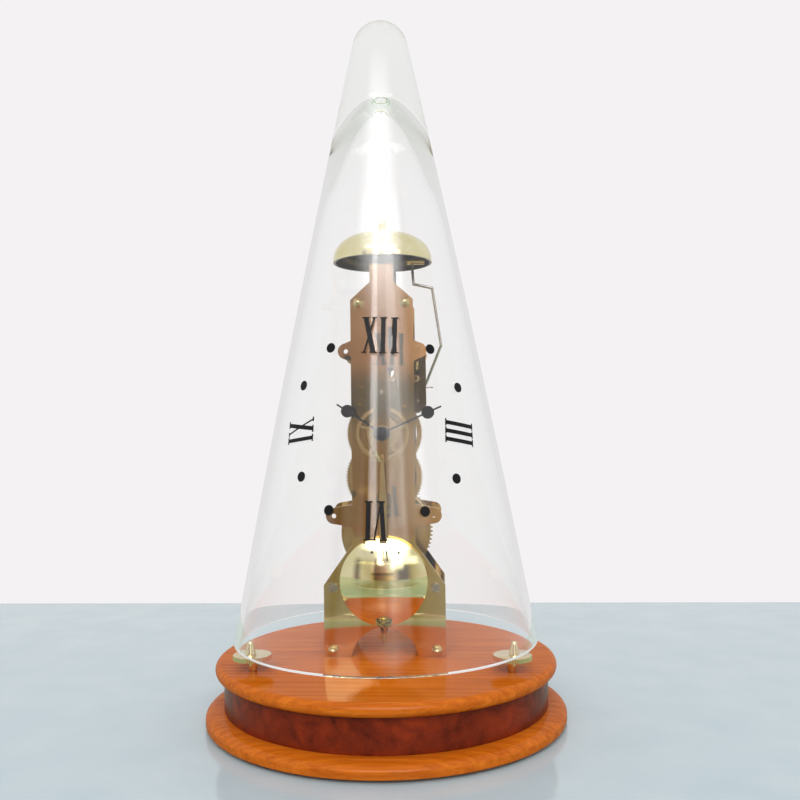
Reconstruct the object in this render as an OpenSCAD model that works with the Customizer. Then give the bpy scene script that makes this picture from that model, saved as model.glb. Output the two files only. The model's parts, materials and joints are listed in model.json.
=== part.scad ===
// Skeleton table clock under a lift-off glass cone, millimetres, +Z up.
// The origin is on the table under the axis of the glass; the dial side faces -Y.

/* [Wooden base] */
// Thickness of the felt under the base
felt_t = 2; // [1:0.5:4]
// Radius of the felt
felt_r = 98; // [90:1:104]
// Radius of the bottom flange
flange_r = 105.5; // [102:0.5:115]
// Height of the bottom flange
flange_h = 8; // [6:0.5:14]
// Height of the flange's upright edge
flange_edge_h = 3.5; // [2:0.5:5]
// Radius of the drum
drum_r = 95; // [93:0.5:98]
// Height of the drum
drum_h = 19; // [12:0.5:40]
// Radius of the top board
top_r = 100; // [97:0.5:104]
// Height of the top board
top_h = 7.5; // [6:0.5:14]
// Distance of the base screws from the axis
base_screw_place_r = 62; // [50:1:75]
// Diameter of the base screws
base_screw_d = 4; // [3:0.5:5]
// Diameter of the bolts that hold the movement down
bolt_d = 3; // [2:0.5:3.5]

/* [Glass] */
// Outer radius at the rim
glass_rim_r = 89.4; // [88:0.2:92]
// Height of the glass from rim to tip
glass_h = 372.3; // [368:0.1:400]
// Radius of the rounded tip
glass_tip_r = 17; // [14:0.2:18]
// Bow of the side, out from a straight cone
glass_bow = 1.65; // [0:0.05:2]
// Wall thickness, measured level
glass_wall = 3.2; // [2.5:0.1:4]
// Height of the solid tip, from the top of the hollow up
solid_tip_h = 52.3; // [44:0.1:60]
// Height over which the wall thickens below the solid tip
thick_wall_h = 60; // [50:1:64]
// Radius of the small flat at the top of the hollow
hollow_flat_r = 4.8; // [3:0.2:6]
// Distance of the supports from the axis
support_place_r = 82.5; // [82:0.1:83]
// Diameter of the support posts
post_d = 4.7; // [4:0.1:6]
// Height of the support posts
post_h = 6.7; // [4:0.1:12]
// Radius of the knurled discs
disc_r = 11; // [9:0.5:13]
// Thickness of the knurled discs
disc_t = 2.5; // [2:0.1:4]
// Height of the tapered tips
tip_h = 7; // [5:0.5:9]
// Foot radius of the tapered tips
tip_foot_r = 2.8; // [2.4:0.1:3]

/* [Printed dial] */
// Height of the dial's middle above the base
dial_h = 135; // [128:0.5:140]
// Distance of the twelve and the six from the dial's middle, along the glass
dial_r = 50; // [46:0.2:54]
// Distance of the three and the nine from the dial's middle
side_numeral_r = 47.5; // [44:0.5:50]
// Radius of the ring of dots
dot_ring_r = 51.3; // [47:0.1:55]
// Part by which the upper dots stand wider than the ring
dot_spread = 0.115; // [0:0.005:0.15]
// Turn of the dial about the upright axis
dial_turn = 1.05; // [-2:0.05:2]
// Tilt of the dial, clockwise
dial_tilt = 1.25; // [-2:0.05:2]
// Height of the numerals
numeral_h = 20; // [14:0.5:22]
// Length of the dots
dot_h = 6.4; // [4:0.2:8]
// Thickness of the print
print_t = 0.15; // [0.1:0.05:0.3]
// Gap between glass and print
print_gap = 0.05; // [0.03:0.01:0.1]

/* [Plates and pillars] */
// Front face of the front plate
front_y = -12; // [-14:0.5:-10]
// Thickness of each plate
plate_t = 1.5; // [1.2:0.1:2]
// Distance between the plates
plate_gap = 38.5; // [38:0.1:40]
// Half width of the upright strip
strip_half_w = 18.5; // [17.5:0.1:20]
// Half width over the legs
leg_half_w = 35.6; // [34.5:0.1:38]
// Height of the leg sides above the base
leg_side_h = 42; // [40.5:0.5:46]
// Height of the legs up to the strip, above the base
leg_h = 66; // [62:0.5:70]
// Height of the shoulders above the top pillars
shoulder_over = 2; // [0:0.5:5]
// Half width of the neck
neck_half_w = 7; // [6:0.5:9]
// Height of the foot of the neck above the top pillars
neck_over = 12.5; // [9.5:0.5:14.5]
// Height of the upper ends of the plates above the top pillars
plate_over = 26; // [24:0.5:27.5]
// Height of the arch between the legs
arch_h = 17.4; // [15:0.2:19]
// Height of the corners of the arch
arch_corner_h = 7.6; // [5:0.2:10]
// Half width of the arch at its corners
arch_corner_half_w = 17.1; // [16:0.1:19]
// Half width of the arch at the feet
arch_foot_half_w = 19.2; // [18:0.1:21]
// Distance of the upper ear holes from the middle
upper_ear_x = 21.4; // [20:0.2:23]
// Height of the upper ear holes above the base
upper_ear_h = 179.1; // [177:0.2:182]
// Distance of the lower ear holes from the middle
lower_ear_x = 29.3; // [27:0.2:32]
// Height of the lower ear holes above the base
lower_ear_h = 82.3; // [80:0.2:85]
// End radius of the ears
ear_r = 4.7; // [4:0.1:5.5]
// Diameter of the ear holes
ear_hole_d = 2.7; // [2:0.1:3.5]
// Half width of the window in the front plate
window_half_w = 4.8; // [4:0.1:5.5]
// Diameter of all pillars
pillar_d = 6.5; // [5.5:0.1:7.5]
// Diameter of the pillar studs
stud_d = 3; // [2.5:0.1:3.2]
// Distance of the top pillars from the middle
top_pillar_x = 13.65; // [12:0.1:14.5]
// Height of the top pillars above the base
top_pillar_h = 207.5; // [205:0.1:209]
// Distance of the lower pillars from the middle
lower_pillar_x = 30; // [29.5:0.1:31]
// Height of the lower pillars above the base
lower_pillar_h = 40.5; // [38:0.1:43]
// Distance of the foot pillars from the middle
foot_pillar_x = 30.3; // [29:0.1:31]
// Height of the foot pillars above the base
foot_pillar_h = 4.1; // [3.9:0.1:5]
// Diameter of the domed nuts
nut_d = 6; // [5:0.1:7]
// Thickness of the washers
washer_t = 0.5; // [0.3:0.1:1]
// Head diameter of the slotted screws
screw_head_d = 5.6; // [4.5:0.1:6.5]

/* [Bell and hammer] */
// Radius of the bell
bell_r = 30; // [28:0.5:31]
// Height of the bell
bell_h = 18.5; // [16:0.5:20]
// Wall of the bell
bell_wall = 1.4; // [1:0.1:2]
// Height of the bell's rim above the top pillars
bell_over = 26; // [24:0.5:28.5]
// Radius of the ball on the bell's nut
finial_r = 2.6; // [2.2:0.1:3]
// Place of the bell's axis behind the axis of the glass
bell_y = 2; // [0:0.5:4]
// Height of the bridge bar
bridge_bar_h = 4; // [3.5:0.5:5]
// Half width of the bridge bar
bridge_bar_half_w = 4; // [3:0.5:4.5]
// Diameter of the bell post
bell_post_d = 6; // [5.2:0.1:7]
// Diameter of the hammer wire
wire_d = 1.7; // [1.2:0.1:2]
// Diameter of the hammer head
hammer_d = 4.2; // [3.6:0.1:5]
// Length of the hammer head
hammer_len = 11; // [9:0.5:12]
// Place of the hammer wire between the plates
hammer_y = 8; // [7:0.5:9]

/* [Going train] */
// Height of the hands' centre above the base
centre_h = 130.5; // [129:0.5:132]
// Thickness of the wheels
wheel_t = 1.2; // [1:0.1:1.4]
// Tooth size of the great wheel, as pitch diameter per tooth
great_module = 0.8; // [0.78:0.01:0.82]
// Tooth size of the intermediate wheel
intermediate_module = 0.57; // [0.56:0.005:0.58]
// Tooth size of the centre wheel
centre_module = 0.475; // [0.47:0.005:0.48]
// Tooth size of the third wheel
third_module = 0.32; // [0.315:0.005:0.325]
// Tip radius of the escape wheel
escape_r = 9.4; // [8.6:0.1:9.8]
// Sideways place of the third wheel
third_x = -5; // [-5.4:0.1:-4.4]
// Diameter of the arbors
arbor_d = 2.4; // [2:0.1:2.6]
// Diameter of the pivots
pivot_d = 1.3; // [1:0.1:1.5]
// Outer radius of the barrel's drum
barrel_r = 27.1; // [25:0.1:27.2]
// Wall of the barrel
barrel_wall = 1.2; // [1:0.1:1.5]
// Depth of the barrel
barrel_depth = 14.5; // [12:0.5:15]
// Thickness of the great wheel
great_t = 2; // [1.6:0.1:2.4]
// Turns of the mainspring
spring_turns = 7; // [5:1:9]
// Thickness of the mainspring
spring_t = 0.45; // [0.3:0.05:0.6]
// Width across the winding square
square_w = 3.6; // [3.2:0.1:3.6]
// Tip radius of the ratchet wheel
ratchet_r = 9; // [8:0.1:9.6]

/* [Motion work and hands] */
// Tooth size of the cannon pinion and minute wheel
minute_module = 0.588; // [0.58:0.002:0.592]
// Tilt of the minute wheel's place from straight down
minute_tilt = 25; // [22:1:32]
// Diameter of the minute wheel's arbor
minute_arbor_d = 1.7; // [1.4:0.1:2]
// Outer radius of the hour pipe
hour_pipe_r = 2; // [1.9:0.05:2.05]
// Outer radius of the cannon pipe
cannon_pipe_r = 1.4; // [1.3:0.05:1.45]
// Length of the hour hand
hour_hand_len = 31; // [27:0.5:34]
// Place of the hour hand's disc
hour_disc_place = 23.7; // [19:0.1:25]
// Length of the minute hand
minute_hand_len = 37.5; // [33:0.5:42]
// Place of the minute hand's disc
minute_disc_place = 29.1; // [25:0.1:31]
// Diameter of the discs on the hands
hand_disc_d = 7.4; // [6:0.1:8.5]
// Width of the hands' stems
hand_w = 1; // [0.8:0.1:1.6]
// Angle of the hour hand from XII, clockwise
hour_angle = -56.5; // [-180:0.5:180]
// Angle of the minute hand from XII, clockwise
minute_angle = 66; // [-180:0.5:180]
// Radius of the round hand nut
hand_nut_r = 4.4; // [3.6:0.1:5]

/* [Pendulum] */
// Height of the anchor arbor above the base
anchor_h = 154.5; // [154:0.1:155]
// Half width of the leader
leader_half_w = 4.7; // [4.6:0.1:5.4]
// Largest swing to each side, degrees
swing = 3; // [2:0.25:3]
// Width of the flat rod
rod_w = 4; // [3:0.1:4.4]
// Thickness of the flat rod
rod_t = 1; // [0.8:0.1:1.2]
// Radius of the bob
bob_r = 25.4; // [23:0.2:27]
// Depth of the bob's front dome
bob_front_h = 6.4; // [5:0.2:9]
// Depth of the bob's back dome
bob_back_h = 4.4; // [4:0.1:4.8]
// Wall of the bob
bob_wall = 0.8; // [0.6:0.1:1]
// Height of the bob's centre above the base
bob_h = 44.8; // [43:0.1:47]
// Radius of the rating nut
rating_nut_r = 4.2; // [3.5:0.1:4.4]

/* [Fits] */
// Radial clearance of pivots, bores and screws
fit = 0.05; // [0.03:0.01:0.08]
// Axial play of arbors between the plates
play = 0.3; // [0.2:0.05:0.5]

/* [Hidden] */
$fn = 64;

// Heights of the base's tiers
flange_z = felt_t;
drum_z = flange_z + flange_h;
top_z = drum_z + drum_h;
base_z = top_z + top_h;
// Heights above the base that follow the top pillars
shoulder_h = top_pillar_h + shoulder_over;
neck_foot_h = top_pillar_h + neck_over;
plate_h = top_pillar_h + plate_over;
bell_rim_h = top_pillar_h + bell_over;
// Glass and its supports
disc_z = base_z + post_h;
glass_z = disc_z + disc_t;
support_angles = [-150, -30, 90];
tip_centre_h = glass_h - glass_tip_r;
tip_reach = sqrt(pow(glass_rim_r, 2) + pow(tip_centre_h, 2));
glass_lean = atan(glass_rim_r / tip_centre_h) - asin(glass_tip_r / tip_reach);
// The bowed side leans more where it meets the tip
tip_lean = atan(tan(glass_lean) + 4 * glass_bow / tip_centre_h);
tip_foot_h = tip_centre_h + glass_tip_r * sin(tip_lean);
side_slope = (glass_rim_r - glass_tip_r * cos(tip_lean)) / tip_foot_h;
hollow_h = glass_h - solid_tip_h;
hollow_round = 8;
hollow_bend_part = 0.68;
support_stud_d = 3;
dial_z = base_z + dial_h;
// The print lies on the straight cone that touches the glass at the dial's middle
dial_rise = (dial_z - glass_z) / tip_foot_h;
dial_lean = atan(side_slope - 4 * glass_bow * (1 - 2 * dial_rise) / tip_foot_h);
dial_apex_z = dial_z + glass_r(dial_z - glass_z) / tan(dial_lean);
// Faces of the plates
in_front_y = front_y + plate_t;
in_back_y = in_front_y + plate_gap;
back_y = in_back_y + plate_t;
mid_y = (in_front_y + in_back_y) / 2;
// Screws and nuts
head_depth = 3;
bell_stud_r = bell_post_d / 3;
head_r = 3.6;
base_screw_len = flange_h + drum_h + top_h - 2.5;
leg_screw_d = 2.5;
leg_screw_len = 6;
screw_head_h = 1.6;
screw_slot_w = 0.8;
screw_slot_depth = 0.7;
washer_r = 4.2;
nut_h = 4.2;
nut_rim_h = 1.9;
stud_out = 3;
// Tooth counts, driver then driven pinion
great_teeth = 70;
great_pinion_teeth = 14;
intermediate_teeth = 80;
centre_pinion_teeth = 12;
centre_teeth = 96;
third_pinion_teeth = 8;
third_teeth = 80;
escape_pinion_teeth = 8;
escape_teeth = 45;
cannon_teeth = 24;
minute_teeth = 36;
minute_pinion_teeth = 8;
hour_teeth = 64;
ratchet_teeth = 24;
// Places of the arbors, as [x, z]
centre = [0, base_z + centre_h];
intermediate = [0, centre[1] - intermediate_module * (intermediate_teeth + centre_pinion_teeth) / 2];
barrel_at = [0, intermediate[1] - great_module * (great_teeth + great_pinion_teeth) / 2];
third_reach = centre_module * (centre_teeth + third_pinion_teeth) / 2;
third = [third_x, centre[1] + sqrt(pow(third_reach, 2) - pow(third_x, 2))];
escape_reach = third_module * (third_teeth + escape_pinion_teeth) / 2;
escape = [0, third[1] + sqrt(pow(escape_reach, 2) - pow(third_x, 2))];
anchor_at = [0, base_z + anchor_h];
minute_reach = minute_module * (cannon_teeth + minute_teeth) / 2;
minute_at = [minute_reach * sin(minute_tilt), centre[1] - minute_reach * cos(minute_tilt)];
hour_module = 2 * minute_reach / (hour_teeth + minute_pinion_teeth);
// Layers between and in front of the plates, as front faces
cannon_y = in_front_y + 1.2;
escape_y = in_front_y + 5;
intermediate_y = in_front_y + 8.5;
bridge_y = in_front_y + 9;
centre_y = in_front_y + 14.5;
third_y = in_front_y + 19.5;
cam_y = in_front_y + 22.5;
great_y = in_front_y + 31;
barrel_y = great_y - barrel_depth;
ratchet_y = back_y + play;
hour_y = front_y - 2.6;
leader_y = front_y - 5.6;
rod_y = leader_y - rod_t;
hour_hand_y = front_y - 9.2;
minute_hand_y = front_y - 11.2;
hand_t = 0.6;
// Seats of the hands, and the slim front of the centre arbor
hour_seat_r = 1.75;
minute_seat_r = 1.2;
slim_r = 0.8;
leader_t = 1;
bridge_t = 1.5;
// Pinions stand a little proud of the wheels that they mesh with
pinion_over = 0.5;
// Hammer: arbor, then the bends of the wire, as [x, z], below the bell's rim
hammer_at = [21, base_z + 149.5];
rim_z = base_z + bell_rim_h;
hammer_z = rim_z + 2.2;
hammer_left_x = 14.4;
wire_bends = [
    [35.1, rim_z - 49.7],
    [30.1, rim_z - 14.5],
    [18.7, rim_z - 12],
    [17.6, hammer_z - hammer_d / 2 + 1.2]
];
collet_r = 3;
collet_len = 4;
tail_tip = [9, base_z + 136.5];
cam_r = 8.4;
// Tab of the back plate and bracket of the front plate, at the right
tab_x = 25.4;
tab_low_z = base_z + 143;
tab_top_z = base_z + 185;
bracket_x = 10;
bracket_screw_at = [[13.2, base_z + 148], [13.2, base_z + 180]];
bush_at = [strip_half_w + 2.3, base_z + 166];
bridge_screw_at = [[-12.5, anchor_at[1] + 5], [-12.5, anchor_at[1] - 5]];
frame_screw_d = 2;
frame_head_r = 1.9;
// Barrel's arbor
core_r = 5;
journal_r = square_w * 0.78;
cap_t = 1.2;
square_len = 11;
// Click on the back plate
click_at = [15, barrel_at[1] + 9];
click_screw_d = 2.4;
// Pendulum heights
bob_z = base_z + bob_h;
bob_mid_y = rod_y + rod_t / 2;
leader_top_z = anchor_at[1] + 7;
leader_low_z = anchor_at[1] - 41;
leader_pin_d = 1.6;
shelf_z = bob_z - bob_r + 5;
shelf_t = 1.6;
shelf_half_w = 5;
bob_travel = 1;
thread_d = 2;
rod_tip_z = bob_z - bob_r - 9.4;

// A flat shape in the X-Z plane, made thick from front face y backwards
module plate(y, t) {
    translate([0, y + t, 0]) rotate([90, 0, 0]) linear_extrude(t) children();
}

// A round bar along Y
module bar(at, y0, y1, r) {
    translate([at[0], y1, at[1]]) rotate([90, 0, 0]) cylinder(r = r, h = y1 - y0);
}

// A shape turned about an axis along Y; the profile is [radius, y]
module turned(at) {
    translate([at[0], 0, at[1]]) rotate([-90, 0, 0]) rotate_extrude() children();
}

// Outline of straight-sided teeth; root and tip widths are shares of the pitch
function tooth_points(n, root_r, tip_r, root_part, tip_part, phase) = [
    for (i = [0 : n - 1])
        for (corner = [[-root_part, root_r], [-tip_part, tip_r], [tip_part, tip_r], [root_part, root_r]])
            let (a = phase + (i + corner[0] / 2) * 360 / n)
                corner[1] * [cos(a), sin(a)]
];

// Direction from one arbor to another, in the X-Z plane
function heading(from, to) = atan2(to[1] - from[1], to[0] - from[0]);

module wheel_teeth(n, m, phase) {
    r = n * m / 2;
    polygon(tooth_points(n, r - m, r + 0.7 * m, 0.5, 0.2, phase));
}

module pinion_teeth(n, m, phase) {
    r = n * m / 2;
    polygon(tooth_points(n, r - 1.05 * m, r + 0.55 * m, 0.42, 0.16, phase));
}

// A crossed-out wheel: toothed rim, spokes and hub with a bore
module crossed_wheel(n, m, phase, rim_w, hub_r, spokes, bore_r) {
    rim_in_r = n * m / 2 - m - rim_w;
    difference() {
        wheel_teeth(n, m, phase);
        circle(rim_in_r);
    }
    difference() {
        union() {
            circle(hub_r);
            for (i = [0 : spokes - 1])
                rotate(90 + i * 360 / spokes)
                    translate([0, -rim_w / 2]) square([rim_in_r + rim_w / 2, rim_w]);
        }
        circle(bore_r);
    }
}

// Arbor between the plates with a pivot in each
module arbor(at, r, y0, y1) {
    bar(at, y0 + play, y1 - play, r);
    bar(at, y0 - plate_t - 0.2, y1 + plate_t + 0.2, pivot_d / 2);
}

// Felt glued under the flange; it covers the screw heads
module felt_pad() {
    color("darkgreen") cylinder(r = felt_r, h = felt_t, $fn = 96);
}

module base_screw_places() {
    for (a = [0, 120, 240])
        rotate([0, 0, a]) translate([base_screw_place_r, 0, 0]) children();
}

module bolt_places() {
    for (side = [-1, 1])
        translate([side * foot_pillar_x, mid_y, 0]) children();
}

// Holes for screws and bolts, the heads sunk into the flange
module base_holes() {
    base_screw_places() {
        translate([0, 0, flange_z]) cylinder(r = base_screw_d / 2 + fit, h = base_screw_len + 0.5);
        translate([0, 0, flange_z - 1]) cylinder(r = head_r + fit, h = head_depth + 1);
    }
    bolt_places() {
        translate([0, 0, flange_z - 1]) cylinder(r = bolt_d / 2 + fit, h = base_z - flange_z + 2);
        translate([0, 0, flange_z - 1]) cylinder(r = head_r + fit, h = head_depth + 1);
    }
}

// Bottom tier with an upright edge and a rounded shoulder
module base_flange() {
    shoulder = flange_r - drum_r - 1;
    rise = flange_h - flange_edge_h;
    color("chocolate") difference() {
        rotate_extrude($fn = 96) polygon(concat(
            [[0, flange_z], [flange_r - 1, flange_z], [flange_r, flange_z + 1]],
            [for (a = [0 : 10 : 90]) [
                drum_r + 1 + shoulder * cos(a),
                flange_z + flange_edge_h + rise * sin(a)
            ]],
            [[0, drum_z]]
        ));
        base_holes();
    }
}

// Middle tier
module base_drum() {
    color("saddlebrown") difference() {
        translate([0, 0, drum_z]) cylinder(r = drum_r, h = drum_h, $fn = 96);
        base_holes();
    }
}

// Top board with a half-round edge
module base_top() {
    color("peru") difference() {
        rotate_extrude($fn = 96) polygon(concat(
            [[0, top_z]],
            [for (a = [-90 : 15 : 90]) [
                top_r - top_h / 2 + top_h / 2 * cos(a),
                top_z + top_h / 2 + top_h / 2 * sin(a)
            ]],
            [[0, base_z]]
        ));
        base_holes();
        support_places() translate([0, 0, base_z - 5]) cylinder(d = support_stud_d + 2 * fit, h = 6);
    }
}

// Wood screws that hold the three tiers together
module base_screws() {
    color("silver") base_screw_places() {
        translate([0, 0, flange_z]) cylinder(r = head_r, h = head_depth);
        translate([0, 0, flange_z]) cylinder(d = base_screw_d, h = base_screw_len);
    }
}

// Bolts from below into the foot pillars
module movement_bolts() {
    color("silver") bolt_places() {
        translate([0, 0, flange_z]) cylinder(r = head_r, h = head_depth);
        translate([0, 0, flange_z]) cylinder(d = bolt_d, h = base_z + foot_pillar_h - flange_z);
    }
}

module support_places() {
    for (a = support_angles)
        rotate([0, 0, a]) translate([support_place_r, 0, 0]) children();
}

// Posts with a stud at each end
module support_posts() {
    color("gold") support_places() {
        translate([0, 0, base_z]) cylinder(d = post_d, h = post_h);
        translate([0, 0, base_z - 4.8]) cylinder(d = support_stud_d, h = 4.8 + post_h + disc_t + 3.5);
    }
}

// Knurled discs that the glass stands on
module support_discs() {
    color("gold") support_places() translate([0, 0, disc_z]) difference() {
        linear_extrude(disc_t) polygon(tooth_points(48, disc_r - 0.35, disc_r, 0.9, 0.35, 0));
        translate([0, 0, -1]) cylinder(d = support_stud_d + 2 * fit, h = disc_t + 2);
    }
}

// Tapered tips that centre the glass
module support_tips() {
    color("gold") support_places() translate([0, 0, glass_z]) difference() {
        cylinder(r1 = tip_foot_r, r2 = 1.3, h = tip_h);
        translate([0, 0, -1]) cylinder(d = support_stud_d + 2 * fit, h = 4.6);
    }
}

// Outer radius of the glass at a height above its rim
function glass_r(h) = glass_rim_r - h * side_slope + 4 * glass_bow * h / tip_foot_h * (1 - h / tip_foot_h);

function bend(p, q, r, t) = (1 - t) * (1 - t) * p + 2 * t * (1 - t) * q + t * t * r;

// Cone of glass with a solid tip, hollow below
module glass_dome() {
    thin_h = hollow_h - thick_wall_h;
    hollow_foot = [glass_r(thin_h) - glass_wall, thin_h];
    hollow_bend = [hollow_bend_part * glass_r(hollow_h), hollow_h - hollow_round];
    steps = 8;
    color("lightcyan", 0.3) translate([0, 0, glass_z]) rotate_extrude($fn = 96) polygon(concat(
        [for (i = [0 : steps - 1])
            [glass_r(tip_foot_h * i / steps), tip_foot_h * i / steps]],
        [for (a = [tip_lean : (90 - tip_lean) / 10 : 89.99])
            [glass_tip_r * cos(a), tip_centre_h + glass_tip_r * sin(a)]],
        [[0, glass_h], [0, hollow_h]],
        [for (t = [0 : 0.125 : 1])
            bend([hollow_flat_r, hollow_h], hollow_bend, hollow_foot, t)],
        [for (i = [steps - 1 : -1 : 0])
            [glass_r(thin_h * i / steps) - glass_wall, thin_h * i / steps]]
    ));
}

// Upright bar of a numeral with a serif at each end
module numeral_bar(w) {
    translate([-w / 2, -numeral_h / 2]) square([w, numeral_h]);
    for (end = [-1, 1])
        translate([-w / 2 - 0.9, end * (numeral_h / 2 - 0.4) - 0.4]) square([w + 1.8, 0.8]);
}

// Slanting strokes with serifs; each has its place at the foot, its place at the top and its width
module numeral_slants(strokes) {
    for (s = strokes) {
        polygon([
            [s[0] - s[2] / 2, -numeral_h / 2], [s[0] + s[2] / 2, -numeral_h / 2],
            [s[1] + s[2] / 2, numeral_h / 2], [s[1] - s[2] / 2, numeral_h / 2]
        ]);
        for (end = [[s[0], -1], [s[1], 1]])
            translate([end[0] - s[2] / 2 - 0.8, end[1] * (numeral_h / 2 - 0.4) - 0.4])
                square([s[2] + 1.6, 0.8]);
    }
}

module numeral(hour) {
    if (hour == 12) {
        numeral_slants([[-3.6, -8, 2.7], [-8.6, -3.2, 1.1]]);
        translate([1.6, 0]) numeral_bar(2.5);
        translate([7.8, 0]) numeral_bar(2.5);
    }
    if (hour == 3)
        for (x = [-4.5, 0, 4.5])
            translate([x, 0]) numeral_bar(2.2);
    if (hour == 6) {
        numeral_slants([[-2.5, -4.2, 2.4], [-2.3, 0.7, 0.9]]);
        translate([4.1, 0]) numeral_bar(2.4);
    }
    if (hour == 9) {
        translate([-4.8, 0]) numeral_bar(2.1);
        numeral_slants([[0.1, 4.1, 2.3], [5.3, -1.2, 0.9]]);
    }
}

// The dial is laid out on a flat sheet that wraps the cone; run is the way from the apex down the glass
module dial_mark(hour, ring_r, spread) {
    side = ring_r * sin(hour * 30) * (1 + spread * max(0, cos(hour * 30)));
    up = ring_r * cos(hour * 30);
    across = side * cos(dial_tilt) + up * sin(dial_tilt);
    down = (dial_apex_z - dial_z) / cos(dial_lean) - up * cos(dial_tilt) + side * sin(dial_tilt);
    run = norm([across, down]);
    sheet_turn = atan2(across, down);
    translate([0, 0, dial_apex_z - run * cos(dial_lean)])
        rotate([0, 0, sheet_turn / sin(dial_lean) + dial_turn])
            rotate([90, 0, 0]) translate([0, 0, run * sin(dial_lean) - 9]) linear_extrude(18)
                rotate(-hour * 30 - dial_tilt - sheet_turn) children();
}

// Solid cone that stands off the print's cone by a gap
module print_cone(low_z, high_z, gap) {
    out = gap / cos(dial_lean);
    translate([0, 0, low_z])
        cylinder(r1 = (dial_apex_z - low_z) * tan(dial_lean) + out,
            r2 = (dial_apex_z - high_z) * tan(dial_lean) + out, h = high_z - low_z, $fn = 96);
}

// Four numerals and eight dots, a thin skin on the glass
module dial_print() {
    low_z = dial_z - dial_r - numeral_h;
    high_z = dial_z + dial_r + numeral_h;
    color("black") intersection() {
        difference() {
            print_cone(low_z, high_z, print_gap + print_t);
            print_cone(low_z - 1, high_z + 1, print_gap);
        }
        union() {
            for (hour = [6, 12])
                dial_mark(hour, dial_r, 0) numeral(hour);
            for (hour = [3, 9])
                dial_mark(hour, side_numeral_r, 0) numeral(hour);
            for (hour = [1, 2, 4, 5, 7, 8, 10, 11])
                dial_mark(hour, dot_ring_r, dot_spread) circle(d = dot_h * 0.85);
        }
    }
}

// Outline shared by both plates, with the legs, the ears and the neck
module plate_outline() {
    arch_low = (pow(arch_corner_half_w, 2) + pow(arch_corner_h, 2) - pow(arch_h, 2))
        / (2 * (arch_corner_h - arch_h));
    right = [
        [arch_corner_half_w, arch_corner_h], [arch_foot_half_w, 0],
        [leg_half_w, 0], [leg_half_w, leg_side_h],
        [strip_half_w, leg_h], [strip_half_w, shoulder_h],
        [neck_half_w, neck_foot_h], [neck_half_w, plate_h]
    ];
    left = [for (i = [len(right) - 1 : -1 : 0]) [-right[i][0], right[i][1]]];
    difference() {
        translate([0, base_z]) union() {
            polygon(concat(right, left));
            for (side = [-1, 1]) {
                ear(side, upper_ear_x, upper_ear_h, 6.6);
                ear(side, lower_ear_x, lower_ear_h, 6.8);
            }
        }
        translate([0, base_z + arch_low]) circle(arch_h - arch_low);
        for (side = [-1, 1]) {
            translate([side * upper_ear_x, base_z + upper_ear_h]) circle(d = ear_hole_d);
            translate([side * lower_ear_x, base_z + lower_ear_h]) circle(d = ear_hole_d);
        }
    }
}

// Ear that widens towards the strip; side is -1 or 1
module ear(side, x, h, root_half_h) {
    translate([0, h]) rotate(side > 0 ? 0 : 180) {
        translate([x, 0]) circle(ear_r);
        polygon([
            [strip_half_w - 1, -root_half_h], [x + 1, -ear_r * 0.97],
            [x + 1, ear_r * 0.97], [strip_half_w - 1, root_half_h]
        ]);
    }
}

// Stud, screw and spigot holes that both plates share
module fixing_holes() {
    for (side = [-1, 1]) {
        translate([side * top_pillar_x, base_z + top_pillar_h]) circle(d = stud_d + 2 * fit);
        translate([side * foot_pillar_x, base_z + foot_pillar_h]) circle(d = stud_d + 2 * fit);
        translate([side * lower_pillar_x, base_z + lower_pillar_h]) circle(d = leg_screw_d + 2 * fit);
    }
    translate([0, bridge_z()]) circle(d = stud_d + 2 * fit);
}

function bridge_z() = base_z + bell_rim_h - 6;

module pivot_hole(at, d) {
    translate(at) circle(d = d + 2 * fit);
}

module slot_hole(at, h, w) {
    for (end = [-1, 1])
        translate([at[0], at[1] + end * (h - w) / 2]) circle(d = w);
    translate([at[0] - w / 2, at[1] - (h - w) / 2]) square([w, h - w]);
}

// Front plate with window, slots and pivot holes
module front_plate() {
    window_top = base_z + 96.5;
    window_low = base_z + 81.5;
    color("goldenrod") difference() {
        plate(front_y, plate_t) difference() {
            plate_outline();
            fixing_holes();
            pivot_hole(barrel_at, pivot_d * 3);
            pivot_hole(intermediate, pivot_d);
            pivot_hole(third, pivot_d);
            pivot_hole(escape, pivot_d);
            pivot_hole(minute_at, minute_arbor_d);
            pivot_hole(anchor_at, arbor_d);
            translate(centre) circle(cannon_pipe_r + 2 * fit);
            translate([0, window_top - window_half_w]) circle(window_half_w);
            translate([-window_half_w, window_low])
                square([2 * window_half_w, window_top - window_half_w - window_low]);
            slot_hole([5, base_z + 165.5], 9.5, 4);
            slot_hole([5.6, base_z + 187], 13, 4);
            for (at = concat(bracket_screw_at, bridge_screw_at))
                pivot_hole(at, frame_screw_d);
        }
        for (at = concat(bracket_screw_at, bridge_screw_at))
            bar(at, front_y - 1, front_y + 0.7, frame_head_r + fit);
    }
}

// Tab outline at the right edge that carries the hammer
module tab_outline(left_x) {
    polygon([
        [left_x, tab_low_z], [tab_x - 4.6, tab_low_z], [tab_x, tab_low_z + 5], [tab_x, tab_top_z - 7],
        [tab_x - 2.4, tab_top_z - 2], [tab_x - 7, tab_top_z], [left_x, tab_top_z]
    ]);
}

// Back plate with the hammer tab and the rear pivots
module back_plate() {
    color("darkgoldenrod") plate(in_back_y, plate_t) difference() {
        union() {
            plate_outline();
            difference() {
                tab_outline(strip_half_w - 1);
                translate([upper_ear_x, base_z + upper_ear_h]) circle(d = ear_hole_d);
            }
        }
        fixing_holes();
        pivot_hole(barrel_at, square_w * 1.45);
        for (at = [intermediate, centre, third, escape, hammer_at])
            pivot_hole(at, pivot_d);
        slot_hole([5, base_z + 165.5], 9.5, 4);
        slot_hole([5.6, base_z + 187], 13, 4);
        pivot_hole(click_at, click_screw_d);
        pivot_hole(click_spring_foot(), 2);
    }
}

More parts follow.
